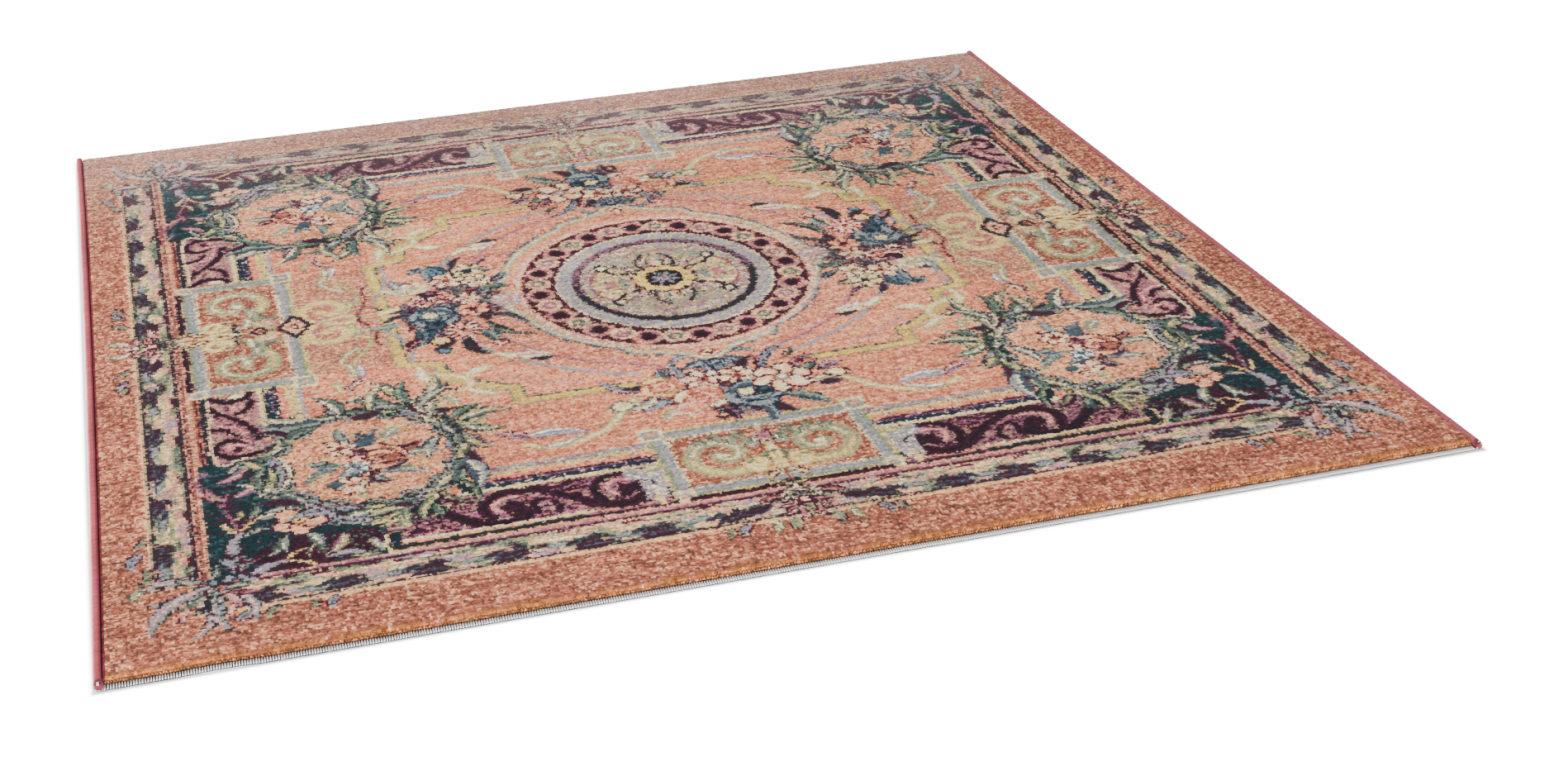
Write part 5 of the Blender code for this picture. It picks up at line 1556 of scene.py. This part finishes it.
def web_material(group):
    """Jute and cotton ground cloth on the underside: a plain weave with rows of tuft backs."""
    material = bpy.data.materials.new("ground_weave")
    material.use_nodes = True
    nodes = material.node_tree.nodes
    link = material.node_tree.links.new
    shader = nodes["Principled BSDF"]
    shader.inputs["Roughness"].default_value = 0.9
    where = nodes.new("ShaderNodeTexCoord")
    heights = []
    for direction in ("X", "Y"):
        wave = nodes.new("ShaderNodeTexWave")
        wave.bands_direction = direction
        wave.inputs["Scale"].default_value = 95.0
        wave.inputs["Distortion"].default_value = 0.6
        link(where.outputs["Object"], wave.inputs["Vector"])
        heights.append(wave.outputs["Fac"])
    weave = nodes.new("ShaderNodeMath")
    weave.operation = "MULTIPLY"
    link(heights[0], weave.inputs[0])
    link(heights[1], weave.inputs[1])
    ramp = nodes.new("ShaderNodeValToRGB")
    ramp.color_ramp.elements[0].color = (0.20, 0.13, 0.08, 1.0)
    ramp.color_ramp.elements[1].color = (0.62, 0.52, 0.38, 1.0)
    link(weave.outputs["Value"], ramp.inputs["Fac"])
    spun = nodes.new("ShaderNodeGroup")
    spun.node_tree = group
    spun.inputs["Fibre Scale"].default_value = 500.0
    spun.inputs["Mottle"].default_value = 0.25
    link(ramp.outputs["Color"], spun.inputs["Color"])
    link(spun.outputs["Color"], shader.inputs["Base Color"])
    bump = nodes.new("ShaderNodeBump")
    bump.inputs["Distance"].default_value = 0.0006
    link(weave.outputs["Value"], bump.inputs["Height"])
    link(bump.outputs["Normal"], shader.inputs["Normal"])
    return material


# Floor, light and camera

FRAME_WIDTH = 1898
CAMERA_PLACE = (-0.8042, -3.3483, 1.5328)
CAMERA_TURN = (63.877, 2.000, -15.138)
FOCAL_PIXELS = 2556.5
SHIFT_PIXELS = (121.0, -24.0)


def studio():
    floor = bpy.data.meshes.new("floor")
    corners = []
    for size in (0.90, 1.0005, 1.0075, 14.0):
        corners += [(x * size, y * size, -0.0002) for x, y in ((-1, -1), (1, -1), (1, 1), (-1, 1))]
    faces = [(0, 1, 2, 3)]
    for first in (0, 4, 8):
        for turn in range(4):
            after = (turn + 1) % 4
            faces.append((first + turn, first + 4 + turn, first + 4 + after, first + after))
    floor.from_pydata(corners, [], faces)
    # painted contact shadow: the floor's glow is 0 under the rug and 0.2 at its edge, and rises to 16 only 7 mm further
    # out, so a dim rim stands for the rug's shadow
    glow_and_painted_shadow = floor.attributes.new("glow_and_painted_shadow", "FLOAT", "POINT")
    glow_and_painted_shadow.data.foreach_set("value", np.repeat([0.0, 0.2, 16.0, 16.0], 4))
    ground = bpy.data.objects.new("floor", floor)
    bpy.context.scene.collection.objects.link(ground)
    paint = bpy.data.materials.new("pale_floor")
    paint.use_nodes = True
    shader = paint.node_tree.nodes["Principled BSDF"]
    shader.inputs["Base Color"].default_value = (0.93, 0.93, 0.94, 1.0)
    shader.inputs["Roughness"].default_value = 0.9
    shader.inputs["Emission Color"].default_value = (1.0, 1.0, 1.0, 1.0)
    lit = paint.node_tree.nodes.new("ShaderNodeAttribute")
    lit.attribute_name = "glow_and_painted_shadow"
    paint.node_tree.links.new(lit.outputs["Fac"], shader.inputs["Emission Strength"])
    floor.materials.append(paint)
    world = bpy.data.worlds.new("studio")
    bpy.context.scene.world = world
    world.use_nodes = True
    world.node_tree.nodes["Background"].inputs["Color"].default_value = (1.0, 1.0, 1.0, 1.0)
    world.node_tree.nodes["Background"].inputs["Strength"].default_value = 0.85
    for name, place, target, size, power in (("key", (-4.3, 0.2, 4.3), (0, 0, 0), 2.2, 430.0),
                                             ("fill", (2.5, -3.0, 2.6), (0, 0, 0), 3.0, 30.0)):
        light = bpy.data.lights.new(name, "AREA")
        light.size = size
        light.energy = power
        lamp = bpy.data.objects.new(name, light)
        lamp.location = place
        lamp.rotation_euler = facing(place, target)
        bpy.context.scene.collection.objects.link(lamp)


def facing(place, target):
    from mathutils import Vector
    return (Vector(target) - Vector(place)).to_track_quat("-Z", "Y").to_euler()


def photo_camera():
    data = bpy.data.cameras.new("photo_view")
    data.sensor_width = 36.0
    data.lens = FOCAL_PIXELS / FRAME_WIDTH * data.sensor_width
    data.shift_x = SHIFT_PIXELS[0] / FRAME_WIDTH
    data.shift_y = SHIFT_PIXELS[1] / FRAME_WIDTH
    camera = bpy.data.objects.new("photo_view", data)
    camera.location = CAMERA_PLACE
    camera.rotation_euler = [math.radians(angle) for angle in CAMERA_TURN]
    bpy.context.scene.collection.objects.link(camera)
    bpy.context.scene.camera = camera


def dress(pieces, material, node):
    for piece in pieces:
        piece.data.materials.append(material)
        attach(piece, "root")
        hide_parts(node)


def main():
    weave, rng = whole_design()
    tufts = woven(weave, rng)
    pile = pile_strips(tufts, rng)
    locks = [end_locks("pile_locks_near", -1, tufts, rng), end_locks("pile_locks_far", 1, tufts, rng)]
    web = foundation()
    left = binding("binding_left_yarn", -1, rng)
    right = binding("binding_right_yarn", 1, rng)
    near = heading("heading_near_ribs", -1, rng)
    far = heading("heading_far_ribs", 1, rng)
    group = yarn_group()
    cut_pile = wool("cut_pile", group, 700.0, 0.40, 0.14, 0.0008, 0.95, 0.03)
    overcast = wool("overcast_yarn", group, 900.0, 0.10, 0.10, 0.0002, 0.6, 0.08)
    warp = wool("warp_ends", group, 800.0, 0.10, 0.0, 0.0002, 0.85, 0.0)
    dress(pile + locks, cut_pile, "pile_cloth")
    dress([web], web_material(group), "pile_cloth")
    dress([left], overcast, "binding_left")
    dress([right], overcast, "binding_right")
    dress([near], warp, "heading_near")
    dress([far], warp, "heading_far")
    studio()
    photo_camera()


main()
